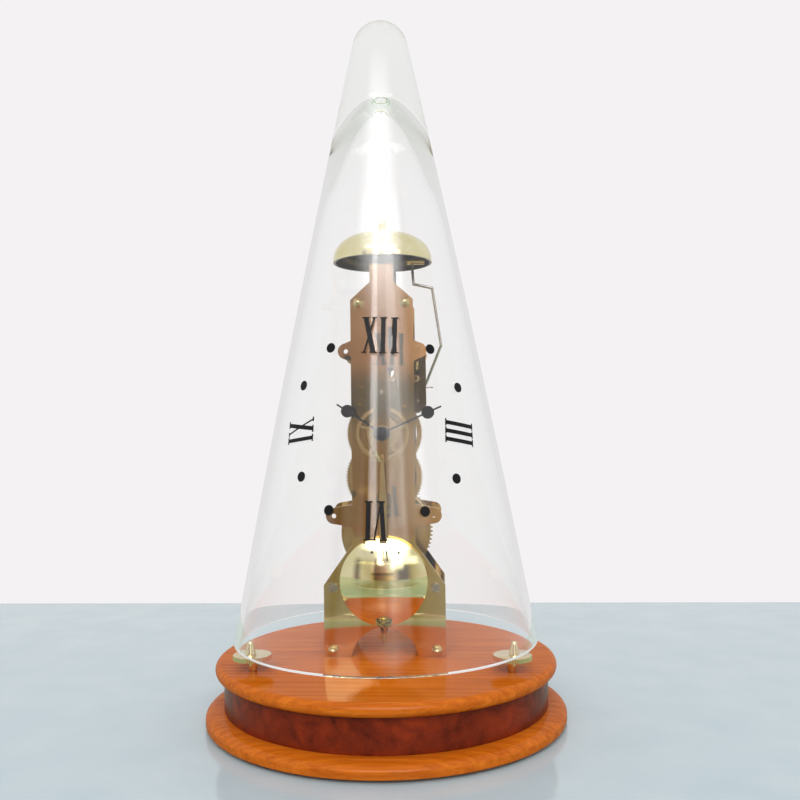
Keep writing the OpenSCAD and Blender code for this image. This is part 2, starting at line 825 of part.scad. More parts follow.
// Pillar with a stud through each plate
module stud_pillar(at) {
    bar(at, in_front_y, in_back_y, pillar_d / 2);
    bar(at, front_y - stud_out, back_y + stud_out, stud_d / 2);
}

module top_pillars() {
    color("gold") for (side = [-1, 1])
        stud_pillar([side * top_pillar_x, base_z + top_pillar_h]);
}

// Pillars tapped at both ends for the slotted screws
module lower_pillars() {
    color("gold") for (side = [-1, 1]) {
        at = [side * lower_pillar_x, base_z + lower_pillar_h];
        difference() {
            bar(at, in_front_y, in_back_y, pillar_d / 2);
            bar(at, in_front_y - 1, in_front_y + leg_screw_len + 1, leg_screw_d / 2 + fit);
            bar(at, in_back_y - leg_screw_len - 1, in_back_y + 1, leg_screw_d / 2 + fit);
        }
    }
}

// Pillars at the feet, cross-drilled for the bolts from below
module foot_pillars() {
    color("gold") difference() {
        for (side = [-1, 1])
            stud_pillar([side * foot_pillar_x, base_z + foot_pillar_h]);
        bolt_places() cylinder(r = bolt_d / 2 + fit, h = base_z + foot_pillar_h + fit);
    }
}

// Domed nut; flip turns its dome to the back
module cap_nut(at, y, flip) {
    translate([at[0], y, at[1]]) rotate([flip ? -90 : 90, 0, 0]) difference() {
        union() {
            cylinder(d = nut_d, h = nut_rim_h);
            translate([0, 0, nut_rim_h])
                cylinder(d1 = nut_d * 0.86, d2 = nut_d * 0.5, h = nut_h - nut_rim_h);
        }
        translate([0, 0, -1]) cylinder(r = stud_d / 2 + fit, h = stud_out + 1.2);
    }
}

module cap_nuts() {
    color("gold") for (side = [-1, 1]) {
        high = [side * top_pillar_x, base_z + top_pillar_h];
        low = [side * foot_pillar_x, base_z + foot_pillar_h];
        cap_nut(high, front_y - washer_t, false);
        cap_nut(high, back_y + washer_t, true);
        cap_nut(low, front_y, false);
        cap_nut(low, back_y, true);
    }
}

// Washers under the upper nuts
module washers() {
    color("khaki") for (side = [-1, 1])
        for (y = [front_y - washer_t, back_y])
            plate(y, washer_t) translate([side * top_pillar_x, base_z + top_pillar_h]) difference() {
                circle(washer_r);
                circle(stud_d / 2 + fit);
            }
}

// Slotted screw along Y; flip turns its head to the back
module slotted_screw(at, y, flip) {
    translate([at[0], y, at[1]]) rotate([flip ? -90 : 90, 0, 0]) difference() {
        union() {
            cylinder(d = screw_head_d, h = screw_head_h);
            translate([0, 0, -plate_t - leg_screw_len])
                cylinder(d = leg_screw_d, h = plate_t + leg_screw_len);
        }
        rotate([0, 0, 60]) translate([-screw_head_d, -screw_slot_w / 2, screw_head_h - screw_slot_depth])
            cube([2 * screw_head_d, screw_slot_w, screw_head_h]);
    }
}

module leg_screws() {
    color("silver") for (side = [-1, 1]) {
        at = [side * lower_pillar_x, base_z + lower_pillar_h];
        slotted_screw(at, front_y, false);
        slotted_screw(at, back_y, true);
    }
}

// Bar between the necks that carries the bell post
module bell_bridge() {
    color("goldenrod") difference() {
        union() {
            translate([-bridge_bar_half_w, in_front_y, bridge_z() - bridge_bar_h / 2])
                cube([2 * bridge_bar_half_w, plate_gap, bridge_bar_h]);
            bar([0, bridge_z()], front_y, back_y, stud_d / 2);
        }
        translate([0, bell_y, bridge_z() - 5]) cylinder(r = bell_stud_r + fit, h = 10);
    }
}

function bell_seat_z() = base_z + bell_rim_h + bell_h - bell_wall;

// Post with a stud at each end
module bell_post() {
    foot_z = bridge_z() + bridge_bar_h / 2;
    color("silver") translate([0, bell_y, 0]) {
        translate([0, 0, foot_z]) cylinder(d = bell_post_d, h = bell_seat_z() - foot_z);
        translate([0, 0, foot_z - bridge_bar_h])
            cylinder(r = bell_stud_r, h = bell_seat_z() - foot_z + bridge_bar_h + bell_wall + 3);
    }
}

// Shallow bell, open below
module bell() {
    color("gold") translate([0, bell_y, base_z + bell_rim_h]) rotate_extrude($fn = 96) polygon(concat(
        [for (a = [0 : 7.5 : 75]) [bell_r * cos(a), bell_h * sin(a)]],
        [[bell_stud_r + fit, bell_h], [bell_stud_r + fit, bell_h - bell_wall]],
        [[bell_post_d / 2, bell_h - bell_wall]],
        [for (a = [75 : -7.5 : 0]) [(bell_r - bell_wall) * cos(a), (bell_h - bell_wall) * sin(a)]]
    ));
}

// Turned finial nut over the bell
module bell_nut() {
    color("gold") translate([0, bell_y, bell_seat_z() + bell_wall]) difference() {
        union() {
            cylinder(r = finial_r + 1.6, h = 1.6);
            cylinder(r = finial_r + 0.6, h = finial_r + 1);
            translate([0, 0, 2 * finial_r + 0.2]) sphere(r = finial_r);
        }
        translate([0, 0, -1]) cylinder(r = bell_stud_r + fit, h = finial_r + 1.6);
    }
}

// Bracket behind the front plate's right edge, with a raised bush
module hammer_bracket() {
    color("darkgoldenrod") difference() {
        union() {
            plate(in_front_y, plate_t) tab_outline(bracket_x);
            bar(bush_at, in_front_y - 0.5, in_front_y, 1.9);
        }
        plate(in_front_y - 1, plate_t + 2) {
            pivot_hole(hammer_at, pivot_d);
            translate([upper_ear_x, base_z + upper_ear_h]) circle(d = ear_hole_d);
            pivot_hole(bush_at, 2.1);
            for (at = bracket_screw_at)
                pivot_hole(at, frame_screw_d);
        }
        stop_pin_hole(fit);
    }
}

module stop_pin_hole(gap) {
    translate([tab_x - 4, in_front_y + plate_t / 2, hammer_at[1] + 7.8])
        rotate([0, 90, 0]) cylinder(d = plate_t * 0.55 + 2 * gap, h = 8.5);
}

// Small steel pin in the edge of the bracket
module stop_pin() {
    color("silver") stop_pin_hole(0);
}

// Flush screws for the bracket and for the anchor bridge
module frame_screws() {
    color("gold") {
        for (at = bracket_screw_at) {
            bar(at, front_y, front_y + 0.7, frame_head_r);
            bar(at, front_y, in_front_y + plate_t, frame_screw_d / 2);
        }
        for (at = bridge_screw_at) {
            bar(at, front_y, front_y + 0.7, frame_head_r);
            bar(at, front_y, in_front_y + 4, frame_screw_d / 2);
        }
    }
}

// Point on the lowest stretch of the hammer wire, at a distance from the arbor's axis
function wire_start(reach) =
    hammer_at + reach * (wire_bends[0] - hammer_at) / norm(wire_bends[0] - hammer_at);

// Arbor with the collet for the wire and the tail that the cam lifts
module hammer_arbor() {
    color("silver") difference() {
        union() {
            arbor(hammer_at, arbor_d / 2, in_front_y + plate_t, in_back_y);
            bar(hammer_at, hammer_y - collet_len / 2, hammer_y + collet_len / 2, collet_r);
            plate(cam_y, wheel_t) {
                translate(hammer_at) circle(3);
                tail_strip();
            }
        }
        wire_piece(wire_start(1.6), wire_start(9), wire_d / 2 + fit);
    }
}

// Straight strip from the hammer arbor to the tail's tip
module tail_strip() {
    reach = norm(tail_tip - hammer_at);
    translate(hammer_at) rotate(heading(hammer_at, tail_tip)) translate([0, -1]) square([reach, 2]);
}

// Straight round piece between two points of the hammer's plane
module wire_piece(from, to, r) {
    translate([from[0], hammer_y, from[1]]) rotate([0, 90 - heading(from, to), 0])
        cylinder(r = r, h = norm(to - from));
}

// Bent wire that carries the hammer head, with a small swelling at each bend
module hammer_wire() {
    stops = concat([wire_start(1.7)], wire_bends);
    color("silver") {
        for (i = [0 : len(stops) - 2])
            wire_piece(stops[i], stops[i + 1], wire_d / 2);
        for (i = [1 : len(stops) - 2])
            translate([stops[i][0], hammer_y, stops[i][1]]) sphere(r = wire_d * 0.56);
    }
}

// Brass hammer head, inside the rim of the bell
module hammer_head() {
    color("gold") difference() {
        translate([hammer_left_x, hammer_y, hammer_z]) rotate([0, 90, 0])
            cylinder(d = hammer_d, h = hammer_len);
        wire_piece(wire_bends[2], wire_bends[3] + [-0.02, 0.1], wire_d / 2 + fit);
    }
}

// Great wheel with the spring's drum in front of it
module barrel() {
    color("gold") difference() {
        union() {
            plate(great_y, great_t) translate(barrel_at)
                wheel_teeth(great_teeth, great_module, heading(barrel_at, intermediate));
            bar(barrel_at, barrel_y, great_y + 0.1, barrel_r);
        }
        bar(barrel_at, barrel_y - 1, great_y, barrel_r - barrel_wall);
        bar(barrel_at, barrel_y - 1, great_y + great_t + 1, journal_r + fit);
    }
}

// Cap pressed into the drum's open end
module barrel_cap() {
    color("goldenrod") plate(barrel_y, cap_t) translate(barrel_at) difference() {
        circle(barrel_r - barrel_wall - fit);
        circle(journal_r + fit);
    }
}

// Flat spring coiled between the arbor's core and the drum
module mainspring() {
    inner_r = core_r + 0.2;
    outer_r = barrel_r - barrel_wall - spring_t - 0.15;
    steps = spring_turns * 20;
    coil = [for (i = [0 : steps]) [inner_r + (outer_r - inner_r) * i / steps, i * 18]];
    color("slategray") plate(barrel_y + cap_t + 0.5, barrel_depth - cap_t - 1)
        translate(barrel_at) polygon(concat(
            [for (p = coil) p[0] * [cos(p[1]), sin(p[1])]],
            [for (i = [steps : -1 : 0]) (coil[i][0] + spring_t) * [cos(coil[i][1]), sin(coil[i][1])]]
        ));
}

// Arbor that the key winds: core, journals, pivots and square
module barrel_arbor() {
    color("silver") {
        bar(barrel_at, barrel_y + cap_t + 0.3, great_y - 0.3, core_r);
        bar(barrel_at, barrel_y - 2, great_y + great_t + 1, journal_r);
        bar(barrel_at, front_y - 0.2, barrel_y, pivot_d * 1.5);
        bar(barrel_at, great_y, back_y, square_w * 0.725);
        translate([-square_w / 2, back_y - 0.5, barrel_at[1] - square_w / 2])
            cube([square_w, square_len + 0.5, square_w]);
    }
}

// Ratchet on the winding square
module ratchet_wheel() {
    root_r = ratchet_r - 1.4;
    step = 360 / ratchet_teeth;
    color("silver") plate(ratchet_y, 1.5) translate(barrel_at) difference() {
        polygon([
            for (i = [0 : ratchet_teeth - 1])
                for (corner = [[0, root_r], [0.12, ratchet_r]])
                    corner[1] * [cos((i + corner[0]) * step), sin((i + corner[0]) * step)]
        ]);
        square(square_w + 2 * fit, center = true);
    }
}

// Pawl on its shoulder screw; its tip stands just clear of the teeth
module click() {
    tip = barrel_at + (ratchet_r + 1.2) * [cos(62), sin(62)];
    turn = heading(click_at, tip);
    color("silver") plate(ratchet_y, 1.5) difference() {
        union() {
            translate(click_at) circle(3);
            translate(click_at) rotate(turn) polygon([[0, -2.6], [norm(tip - click_at), -0.5],
                [norm(tip - click_at), 0.9], [0, 2.6]]);
        }
        pivot_hole(click_at, click_screw_d);
    }
}

// Shoulder screw of the click
module click_screw() {
    color("silver") {
        bar(click_at, in_back_y + 0.2, ratchet_y + 1.5 + play, click_screw_d / 2);
        bar(click_at, ratchet_y + 1.5 + play, ratchet_y + 3.4, 2.6);
    }
}

function click_spring_foot() = click_at + [1, 13];

// Bent strip that presses the click, on a foot in the plate
module click_spring() {
    foot = click_spring_foot();
    end = click_at + [-1.5, 3.5];
    color("silver") {
        bar(foot, in_back_y + 0.2, ratchet_y + 1.5, 1);
        plate(ratchet_y + 0.2, 1.1) translate(foot) rotate(heading(foot, end))
            translate([0, -0.25]) square([norm(end - foot), 0.5]);
    }
}

// Arbor with the pinion that the great wheel drives
module intermediate_arbor() {
    color("silver") {
        arbor(intermediate, arbor_d / 2, in_front_y, in_back_y);
        plate(great_y - 0.3, great_t + 0.6) translate(intermediate)
            pinion_teeth(great_pinion_teeth, great_module,
                heading(intermediate, barrel_at) + 180 / great_pinion_teeth);
    }
}

module intermediate_wheel() {
    color("gold") plate(intermediate_y, wheel_t) translate(intermediate)
        crossed_wheel(intermediate_teeth, intermediate_module, heading(intermediate, centre), 3, 5, 5,
            arbor_d / 2 + fit);
}

// Arbor that turns once an hour, slim in front for the cannon pinion
module centre_arbor() {
    color("silver") {
        bar(centre, cannon_y + wheel_t + 2, in_back_y - play, arbor_d / 2);
        bar(centre, in_back_y - play - 1, back_y + 0.2, pivot_d / 2);
        bar(centre, minute_hand_y - 2.4, cannon_y + wheel_t + 3, slim_r);
        plate(intermediate_y - pinion_over, wheel_t + 2 * pinion_over) translate(centre)
            pinion_teeth(centre_pinion_teeth, intermediate_module,
                heading(centre, intermediate) + 180 / centre_pinion_teeth);
    }
}

module centre_wheel() {
    color("gold") plate(centre_y, wheel_t) translate(centre)
        crossed_wheel(centre_teeth, centre_module, heading(centre, third), 2.8, 5, 5, arbor_d / 2 + fit);
}

// Two-lobed cam that lifts the hammer's tail twice an hour
module strike_cam() {
    color("gold") plate(cam_y, wheel_t) translate(centre) difference() {
        union() {
            circle(4);
            for (half = [0, 180])
                rotate(half) polygon([[0, -3.6], [cam_r - 2.4, -2], [cam_r - 0.6, 1.4], [2, 3.6]]);
        }
        circle(arbor_d / 2 + fit);
    }
}

// Third wheel, riveted to its arbor and pinion
module third_wheel() {
    color("gold") {
        arbor(third, 1, in_front_y, in_back_y);
        plate(third_y, wheel_t) translate(third)
            crossed_wheel(third_teeth, third_module, heading(third, escape), 1.6, 3, 4, 0.9);
        plate(centre_y - pinion_over, wheel_t + 2 * pinion_over) translate(third)
            pinion_teeth(third_pinion_teeth, centre_module,
                heading(third, centre) + 180 / third_pinion_teeth);
    }
}

// Escape wheel with pointed teeth, riveted to its arbor and pinion
module escape_wheel() {
    color("gold") {
        arbor(escape, 0.85, in_front_y, in_back_y);
        plate(escape_y, wheel_t) translate(escape) {
            difference() {
                polygon(tooth_points(escape_teeth, escape_r - 1.5, escape_r, 0.5, 0.14, 0));
                circle(escape_r - 2.9);
            }
            for (a = [45 : 90 : 315])
                rotate(a) translate([0, -0.7]) square([escape_r - 2.2, 1.4]);
            circle(2.2);
        }
        plate(third_y - pinion_over, wheel_t + 2 * pinion_over) translate(escape)
            pinion_teeth(escape_pinion_teeth, third_module,
                heading(escape, third) + 180 / escape_pinion_teeth);
    }
}

// Anchor below the escape wheel; the pallets stand clear of the teeth
module anchor() {
    pallet_reach = escape_r + 1.9;
    color("silver") plate(escape_y, wheel_t) difference() {
        union() {
            translate(anchor_at) circle(2.6);
            for (side = [-1, 1]) {
                pallet = escape - anchor_at + pallet_reach * [side * sin(48), -cos(48)];
                translate(anchor_at) rotate(heading([0, 0], pallet))
                    translate([0, -0.9]) square([norm(pallet) - 0.4, 1.8]);
            }
        }
        translate(anchor_at) circle(arbor_d / 2 + fit);
    }
}

// Short arbor of the anchor; its front end carries the pendulum
module anchor_arbor() {
    color("silver") {
        bar(anchor_at, leader_y - 1.8, bridge_y - play, arbor_d / 2);
        bar(anchor_at, bridge_y - play - 1, bridge_y + bridge_t + 0.2, pivot_d / 2);
        bar(anchor_at, leader_y + leader_t, front_y - play, 1.8);
    }
}

// Cock behind the anchor, on two posts from the front plate
module anchor_bridge() {
    color("goldenrod") difference() {
        union() {
            plate(bridge_y, bridge_t) difference() {
                union() {
                    for (at = bridge_screw_at)
                        translate(at) circle(2.4);
                    translate([bridge_screw_at[0][0] - 2.4, bridge_screw_at[1][1]]) square([4.8, 10]);
                    translate([bridge_screw_at[0][0], anchor_at[1] - 5.3])
                        square([-bridge_screw_at[0][0], 4]);
                    translate([-2, anchor_at[1] - 5.3]) square([4, 5.3]);
                    translate(anchor_at) circle(2);
                }
                pivot_hole(anchor_at, pivot_d);
            }
            for (at = bridge_screw_at)
                bar(at, in_front_y, bridge_y + 0.1, 2);
        }
        for (at = bridge_screw_at)
            bar(at, in_front_y - 1, in_front_y + 5, frame_screw_d / 2 + fit);
    }
}

// Flat leader with a window round the hour pipe and a pin for the rod
module pendulum_leader() {
    pipe_room = hour_pipe_r + (anchor_at[1] - centre[1]) * tan(swing) + 0.3;
    pin_at = [0, leader_low_z + 2.2];
    color("khaki") {
        plate(leader_y, leader_t) difference() {
            polygon([
                [-leader_half_w + 1.5, leader_top_z], [leader_half_w - 1.5, leader_top_z],
                [leader_half_w, leader_top_z - 1.5], [leader_half_w, leader_low_z + 8],
                [rod_w / 2, leader_low_z], [-rod_w / 2, leader_low_z],
                [-leader_half_w, leader_low_z + 8], [-leader_half_w, leader_top_z - 1.5]
            ]);
            pivot_hole(anchor_at, arbor_d);
            slot_hole(centre, 2 * pipe_room + 2, 2 * pipe_room);
        }
        bar(pin_at, rod_y - 0.6, leader_y + leader_t, leader_pin_d / 2);
    }
}

// Round nut that clamps the leader on the anchor arbor
module leader_nut() {
    color("khaki") plate(leader_y - 1.6, 1.6) translate(anchor_at) difference() {
        circle(2.5);
        circle(arbor_d / 2 + fit);
    }
}

// Flat rod with an eye above and a round thread below
module pendulum_rod() {
    eye_z = leader_low_z + 2.2;
    flat_low_z = shelf_z + shelf_t + bob_travel + 0.5;
    color("gold") difference() {
        union() {
            translate([-rod_w / 2, rod_y, flat_low_z]) cube([rod_w, rod_t, eye_z + 2.8 - flat_low_z]);
            translate([0, bob_mid_y, rod_tip_z]) cylinder(d = thread_d, h = flat_low_z - rod_tip_z + 1);
        }
        bar([0, eye_z], rod_y - 1, rod_y + rod_t + 1, leader_pin_d / 2 + fit);
    }
}

// Sphere radius of a dome of given width and depth
function dome_r(r, h) = (r * r + h * h) / (2 * h);

// Profile of a thin dome from rim to axis; sign -1 bulges to the front
function dome_points(r, h, y, sign) = [
    for (i = [0 : 12])
        let (big = dome_r(r, h), a = asin(r / big) * (1 - i / 12))
            [big * sin(a), y + sign * (big * cos(a) - (big - h))]
];

module dome_shell(h, y, sign) {
    turned([0, bob_z]) polygon(concat(
        dome_points(bob_r, h, y, sign),
        [for (p = [12 : -1 : 0]) dome_points(bob_r - bob_wall, h - bob_wall, y, sign)[p]]
    ));
}

// Room for the rod at the top, of a given depth, and for the rating nut below
module bob_notches(rod_room_h) {
    translate([-rod_w / 2 - 0.15, bob_mid_y - 2.4, bob_z + bob_r - rod_room_h])
        cube([rod_w + 0.3, 4.8, rod_room_h + 2]);
    translate([-rating_nut_r - 0.5, bob_mid_y - 7, bob_z - bob_r - 1])
        cube([2 * rating_nut_r + 1, 14, shelf_z - bob_z + bob_r + 1]);
}

// Polished front shell of the bob
module bob_front() {
    color("gold") difference() {
        dome_shell(bob_front_h, bob_mid_y - 0.1, -1);
        bob_notches(3.2);
    }
}

// Back shell with the shelf that rests on the rating nut
module bob_back() {
    color("goldenrod") difference() {
        union() {
            difference() {
                dome_shell(bob_back_h, bob_mid_y + 0.1, 1);
                bob_notches(6.5);
            }
            translate([-shelf_half_w, bob_mid_y - 1.6, shelf_z])
                cube([2 * shelf_half_w, bob_back_h - 1.4, shelf_t]);
        }
        translate([0, bob_mid_y, shelf_z - 1]) cylinder(d = thread_d + 4 * fit, h = shelf_t + 2);
    }
}

// Knurled nut that raises and lowers the bob
module rating_nut() {
    color("darkgoldenrod") translate([0, bob_mid_y, 0]) difference() {
        union() {
            translate([0, 0, shelf_z - 4.5]) linear_extrude(4.5)
                polygon(tooth_points(24, rating_nut_r - 0.35, rating_nut_r, 0.9, 0.35, 0));
            translate([0, 0, shelf_z - 9]) cylinder(r1 = 1.6, r2 = 2.6, h = 4.5);
        }
        translate([0, 0, shelf_z - 10]) cylinder(r = thread_d / 2 + fit, h = 11);
    }
}

// Pinion behind the front plate on a pipe that carries the minute hand
module cannon_pinion() {
    color("khaki") difference() {
        union() {
            plate(cannon_y, wheel_t) translate(centre)
                wheel_teeth(cannon_teeth, minute_module, heading(centre, minute_at));
            bar(centre, minute_hand_y + hand_t, cannon_y + wheel_t + 1.5, cannon_pipe_r);
            bar(centre, minute_hand_y, cannon_y, minute_seat_r);
        }
        bar(centre, minute_hand_y - 1, cannon_y + wheel_t + 2, slim_r + fit);
    }
}

// Minute wheel behind the plate; its pinion drives the hour wheel in front
module minute_wheel() {
    color("gold") {
        bar(minute_at, hour_y - pinion_over, cannon_y + wheel_t + pinion_over, minute_arbor_d / 2);
        plate(cannon_y, wheel_t) translate(minute_at)
            wheel_teeth(minute_teeth, minute_module, heading(minute_at, centre) + 180 / minute_teeth);
        plate(hour_y - pinion_over, wheel_t + 2 * pinion_over) translate(minute_at)
            pinion_teeth(minute_pinion_teeth, hour_module,
                heading(minute_at, centre) + 180 / minute_pinion_teeth);
    }
}

// Crossed-out hour wheel on a pipe that carries the hour hand
module hour_wheel() {
    color("gold") difference() {
        union() {
            plate(hour_y, wheel_t) translate(centre)
                crossed_wheel(hour_teeth, hour_module, heading(centre, minute_at), 1.6, 9.3, 5,
                    cannon_pipe_r);
            bar(centre, hour_hand_y + hand_t, front_y - play, hour_pipe_r);
            bar(centre, hour_hand_y, hour_y, hour_seat_r);
        }
        bar(centre, hour_hand_y - 1, front_y + 1, cannon_pipe_r + fit);
    }
}

// Flat hand: hub, thin stem, disc and thin tip
module hand(angle, len, disc_place, bore_r) {
    translate(centre) rotate(90 - angle) difference() {
        union() {
            circle(3);
            translate([0, -hand_w / 2]) square([len, hand_w]);
            translate([disc_place, 0]) circle(d = hand_disc_d);
        }
        circle(bore_r);
    }
}

module hour_hand() {
    color("black") plate(hour_hand_y, hand_t)
        hand(hour_angle, hour_hand_len, hour_disc_place, hour_seat_r + fit);
}

module minute_hand() {
    color("black") plate(minute_hand_y, hand_t)
        hand(minute_angle, minute_hand_len, minute_disc_place, minute_seat_r + fit);
}

// Round nut in front of the minute hand
module hand_nut() {
    seat_a = 35;
    back = minute_hand_y - 0.2;
    mid = back - hand_nut_r * sin(seat_a);
    bore_r = slim_r + fit;
    color("black") turned(centre) polygon(concat(
        [[bore_r, mid], [bore_r, back]],
        [for (a = [seat_a : (-90 - seat_a) / 12 : -89.99])
            [hand_nut_r * cos(a), mid + hand_nut_r * sin(a)]],
        [[0, mid - hand_nut_r], [0, mid]]
    ));
}

felt_pad();
base_flange();
base_drum();
base_top();
base_screws();
movement_bolts();
support_posts();
support_discs();
support_tips();
glass_dome();
dial_print();
front_plate();
back_plate();
top_pillars();
lower_pillars();
foot_pillars();
cap_nuts();
washers();
leg_screws();
bell_bridge();
bell_post();
bell();
bell_nut();
hammer_bracket();
frame_screws();
stop_pin();
hammer_arbor();
hammer_wire();
hammer_head();
barrel();
barrel_cap();
mainspring();
barrel_arbor();
ratchet_wheel();
click();
click_screw();
click_spring();
intermediate_arbor();
intermediate_wheel();
centre_arbor();
centre_wheel();
strike_cam();
third_wheel();
escape_wheel();
anchor();
anchor_arbor();
anchor_bridge();
pendulum_leader();
leader_nut();
pendulum_rod();
bob_front();
bob_back();
rating_nut();
cannon_pinion();
minute_wheel();
hour_wheel();
hour_hand();
minute_hand();
hand_nut();
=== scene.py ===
import bpy
import json
from math import asin, atan, cos, degrees, pi, radians, sin, sqrt, tan
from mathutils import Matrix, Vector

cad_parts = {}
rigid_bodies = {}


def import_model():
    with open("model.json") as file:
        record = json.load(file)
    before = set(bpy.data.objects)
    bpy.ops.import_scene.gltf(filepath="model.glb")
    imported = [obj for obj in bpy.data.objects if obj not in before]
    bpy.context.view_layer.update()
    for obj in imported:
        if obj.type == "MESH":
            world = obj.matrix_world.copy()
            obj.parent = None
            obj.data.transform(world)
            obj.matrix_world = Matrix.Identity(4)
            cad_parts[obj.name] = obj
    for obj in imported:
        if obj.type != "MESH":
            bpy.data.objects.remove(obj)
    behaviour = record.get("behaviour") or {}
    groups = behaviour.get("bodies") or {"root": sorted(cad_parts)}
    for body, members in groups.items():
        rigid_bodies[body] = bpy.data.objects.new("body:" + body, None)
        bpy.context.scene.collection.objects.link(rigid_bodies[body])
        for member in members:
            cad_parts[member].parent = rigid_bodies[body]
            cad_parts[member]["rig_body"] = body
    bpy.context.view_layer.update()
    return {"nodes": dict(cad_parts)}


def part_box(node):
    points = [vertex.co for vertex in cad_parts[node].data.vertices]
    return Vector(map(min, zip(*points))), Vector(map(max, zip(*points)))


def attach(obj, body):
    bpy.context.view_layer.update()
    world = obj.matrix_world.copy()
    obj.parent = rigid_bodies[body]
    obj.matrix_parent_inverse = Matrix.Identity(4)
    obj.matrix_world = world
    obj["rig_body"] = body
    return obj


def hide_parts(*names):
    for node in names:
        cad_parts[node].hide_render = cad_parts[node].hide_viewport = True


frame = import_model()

# Camera: a hand-held view a little to the right of the dial and about level with the hands.
# Its place was fitted to the round rims of the base and the glass.
camera_data = bpy.data.cameras.new("camera")
camera_data.sensor_width = 36
camera_data.lens = 39.46
camera = bpy.data.objects.new("camera", camera_data)
camera.location = (0.03507, -0.52754, 0.1693)
camera.rotation_euler = (radians(91.932), radians(0.638), radians(2.765))
bpy.context.scene.collection.objects.link(camera)
bpy.context.scene.camera = camera
bpy.context.scene.view_settings.view_transform = "Standard"


# Room: a white studio that is dim in front of the clock, where the viewer stands. Polished brass
# shows that dim part, while the eye and the glass see plain white behind the clock.
def linear(hex_colour):
    """Turns an sRGB hex colour into linear red, green, blue and alpha."""
    parts = [int(hex_colour[i:i + 2], 16) / 255 for i in (1, 3, 5)]
    return [p / 12.92 if p <= 0.04045 else ((p + 0.055) / 1.055) ** 2.4 for p in parts] + [1]


def add_node(tree, kind, settings={}, links={}):
    """Adds a node; a setting is a property, the value of an input, or a colour ramp's stops."""
    node = tree.nodes.new(kind)
    for name, value in settings.items():
        if name == "stops":
            ramp = node.color_ramp.elements
            for i, (position, colour) in enumerate(value):
                stop = ramp[i] if i < 2 else ramp.new(position)
                stop.position = position
                stop.color = linear(colour) if isinstance(colour, str) else colour
        elif isinstance(name, str) and hasattr(node, name):
            setattr(node, name, value)
        else:
            node.inputs[name].default_value = value
    for name, output in links.items():
        tree.links.new(output, node.inputs[name])
    return node


white_wall = linear("#f4f2f3")
# Where a Mix node has its two colours among its inputs, and the result among its outputs
colour_a, colour_b, mixed = 6, 7, 2
world = bpy.data.worlds.new("room")
bpy.context.scene.world = world
world.use_nodes = True
tree = world.node_tree
tree.nodes.clear()
direction = add_node(tree, "ShaderNodeTexCoord").outputs["Generated"]
towards = add_node(tree, "ShaderNodeSeparateXYZ", {}, {"Vector": direction})
up = towards.outputs["Z"]
ahead = add_node(tree, "ShaderNodeMath", {"operation": "MULTIPLY", 1: -1},
                 {0: towards.outputs["Y"]})
turn = add_node(tree, "ShaderNodeMath", {"operation": "ARCTAN2"},
                {0: towards.outputs["X"], 1: ahead.outputs[0]}).outputs[0]

# What stands in front of the clock, by direction in degrees to the right of straight ahead
room_view = [(-180, "#f4f2f3"), (-46, "#f4f2f3"), (-38, "#6e655c"), (-31, "#ece8e0"),
             (-21, "#d8d0c4"), (-14, "#40372f"), (-7, "#5a4b41"), (-4.5, "#64564b"),
             (-2, "#6c5e53"), (6, "#a4988c"), (12, "#cfc5ba"), (18, "#544a41"),
             (27, "#4c443b"), (35, "#d6cec4"), (48, "#f4f2f3")]
turn_part = add_node(tree, "ShaderNodeMapRange", {"From Min": -pi, "From Max": pi},
                     {"Value": turn})
shapes = add_node(tree, "ShaderNodeValToRGB",
                  {"stops": [(0.5 + angle / 360, colour) for angle, colour in room_view]},
                  {"Fac": turn_part.outputs[0]})

# The same by height in degrees up, as factors of red, green and blue: brown furniture, a dark band
# at eye level, and a tan wall
height_view = [(-20, (2.2, 2.0, 1.3)), (-9, (2.3, 1.9, 1.2)), (-4, (2.3, 1.8, 0.8)),
               (0, (2.2, 1.9, 0.9)), (1.4, (0.7, 0.78, 0.5)), (3, (0.7, 0.78, 0.5)),
               (4.4, (3.6, 2.6, 2.1)), (8, (4.0, 3.3, 3.5)), (13, (4.5, 4.0, 5.0))]
view_top = sin(radians(20))
height_part = add_node(tree, "ShaderNodeMapRange", {"From Min": -view_top, "From Max": view_top},
                       {"Value": up})
heights = add_node(tree, "ShaderNodeValToRGB",
                   {"stops": [(0.5 + sin(radians(angle)) / (2 * view_top), factors + (1,))
                              for angle, factors in height_view]},
                   {"Fac": height_part.outputs[0]})
# These factors hold about the viewer, a little to the left, and fade out on either side
viewer_turn, near_side, far_side = radians(-4), radians(9), radians(17)
off_viewer = add_node(tree, "ShaderNodeMath", {"operation": "SUBTRACT", 1: viewer_turn}, {0: turn})
either_side = add_node(tree, "ShaderNodeMath", {"operation": "ABSOLUTE"},
                       {0: off_viewer.outputs[0]})
near_viewer = add_node(tree, "ShaderNodeMapRange",
                       {"From Min": near_side, "From Max": far_side, "To Min": 1, "To Max": 0},
                       {"Value": either_side.outputs[0]})
toned = add_node(tree, "ShaderNodeMix", {"data_type": "RGBA", "blend_type": "MULTIPLY"},
                 {"Factor": near_viewer.outputs[0], colour_a: shapes.outputs[0],
                  colour_b: heights.outputs[0]})

# Nothing there is lighter than the white wall, which goes on above it, from about 16 to 24 degrees
# up; these are the sines of such angles
no_lighter = add_node(tree, "ShaderNodeMix",
                      {"data_type": "RGBA", "blend_type": "DARKEN", "Factor": 1.0,
                       colour_b: white_wall}, {colour_a: toned.outputs[mixed]})
ceiling_from, ceiling_to = 0.27, 0.4
to_ceiling = add_node(tree, "ShaderNodeMapRange",
                      {"From Min": ceiling_from, "From Max": ceiling_to}, {"Value": up})
room_colour = add_node(tree, "ShaderNodeMix", {"data_type": "RGBA", colour_b: white_wall},
                       {"Factor": to_ceiling.outputs[0], colour_a: no_lighter.outputs[mixed]})

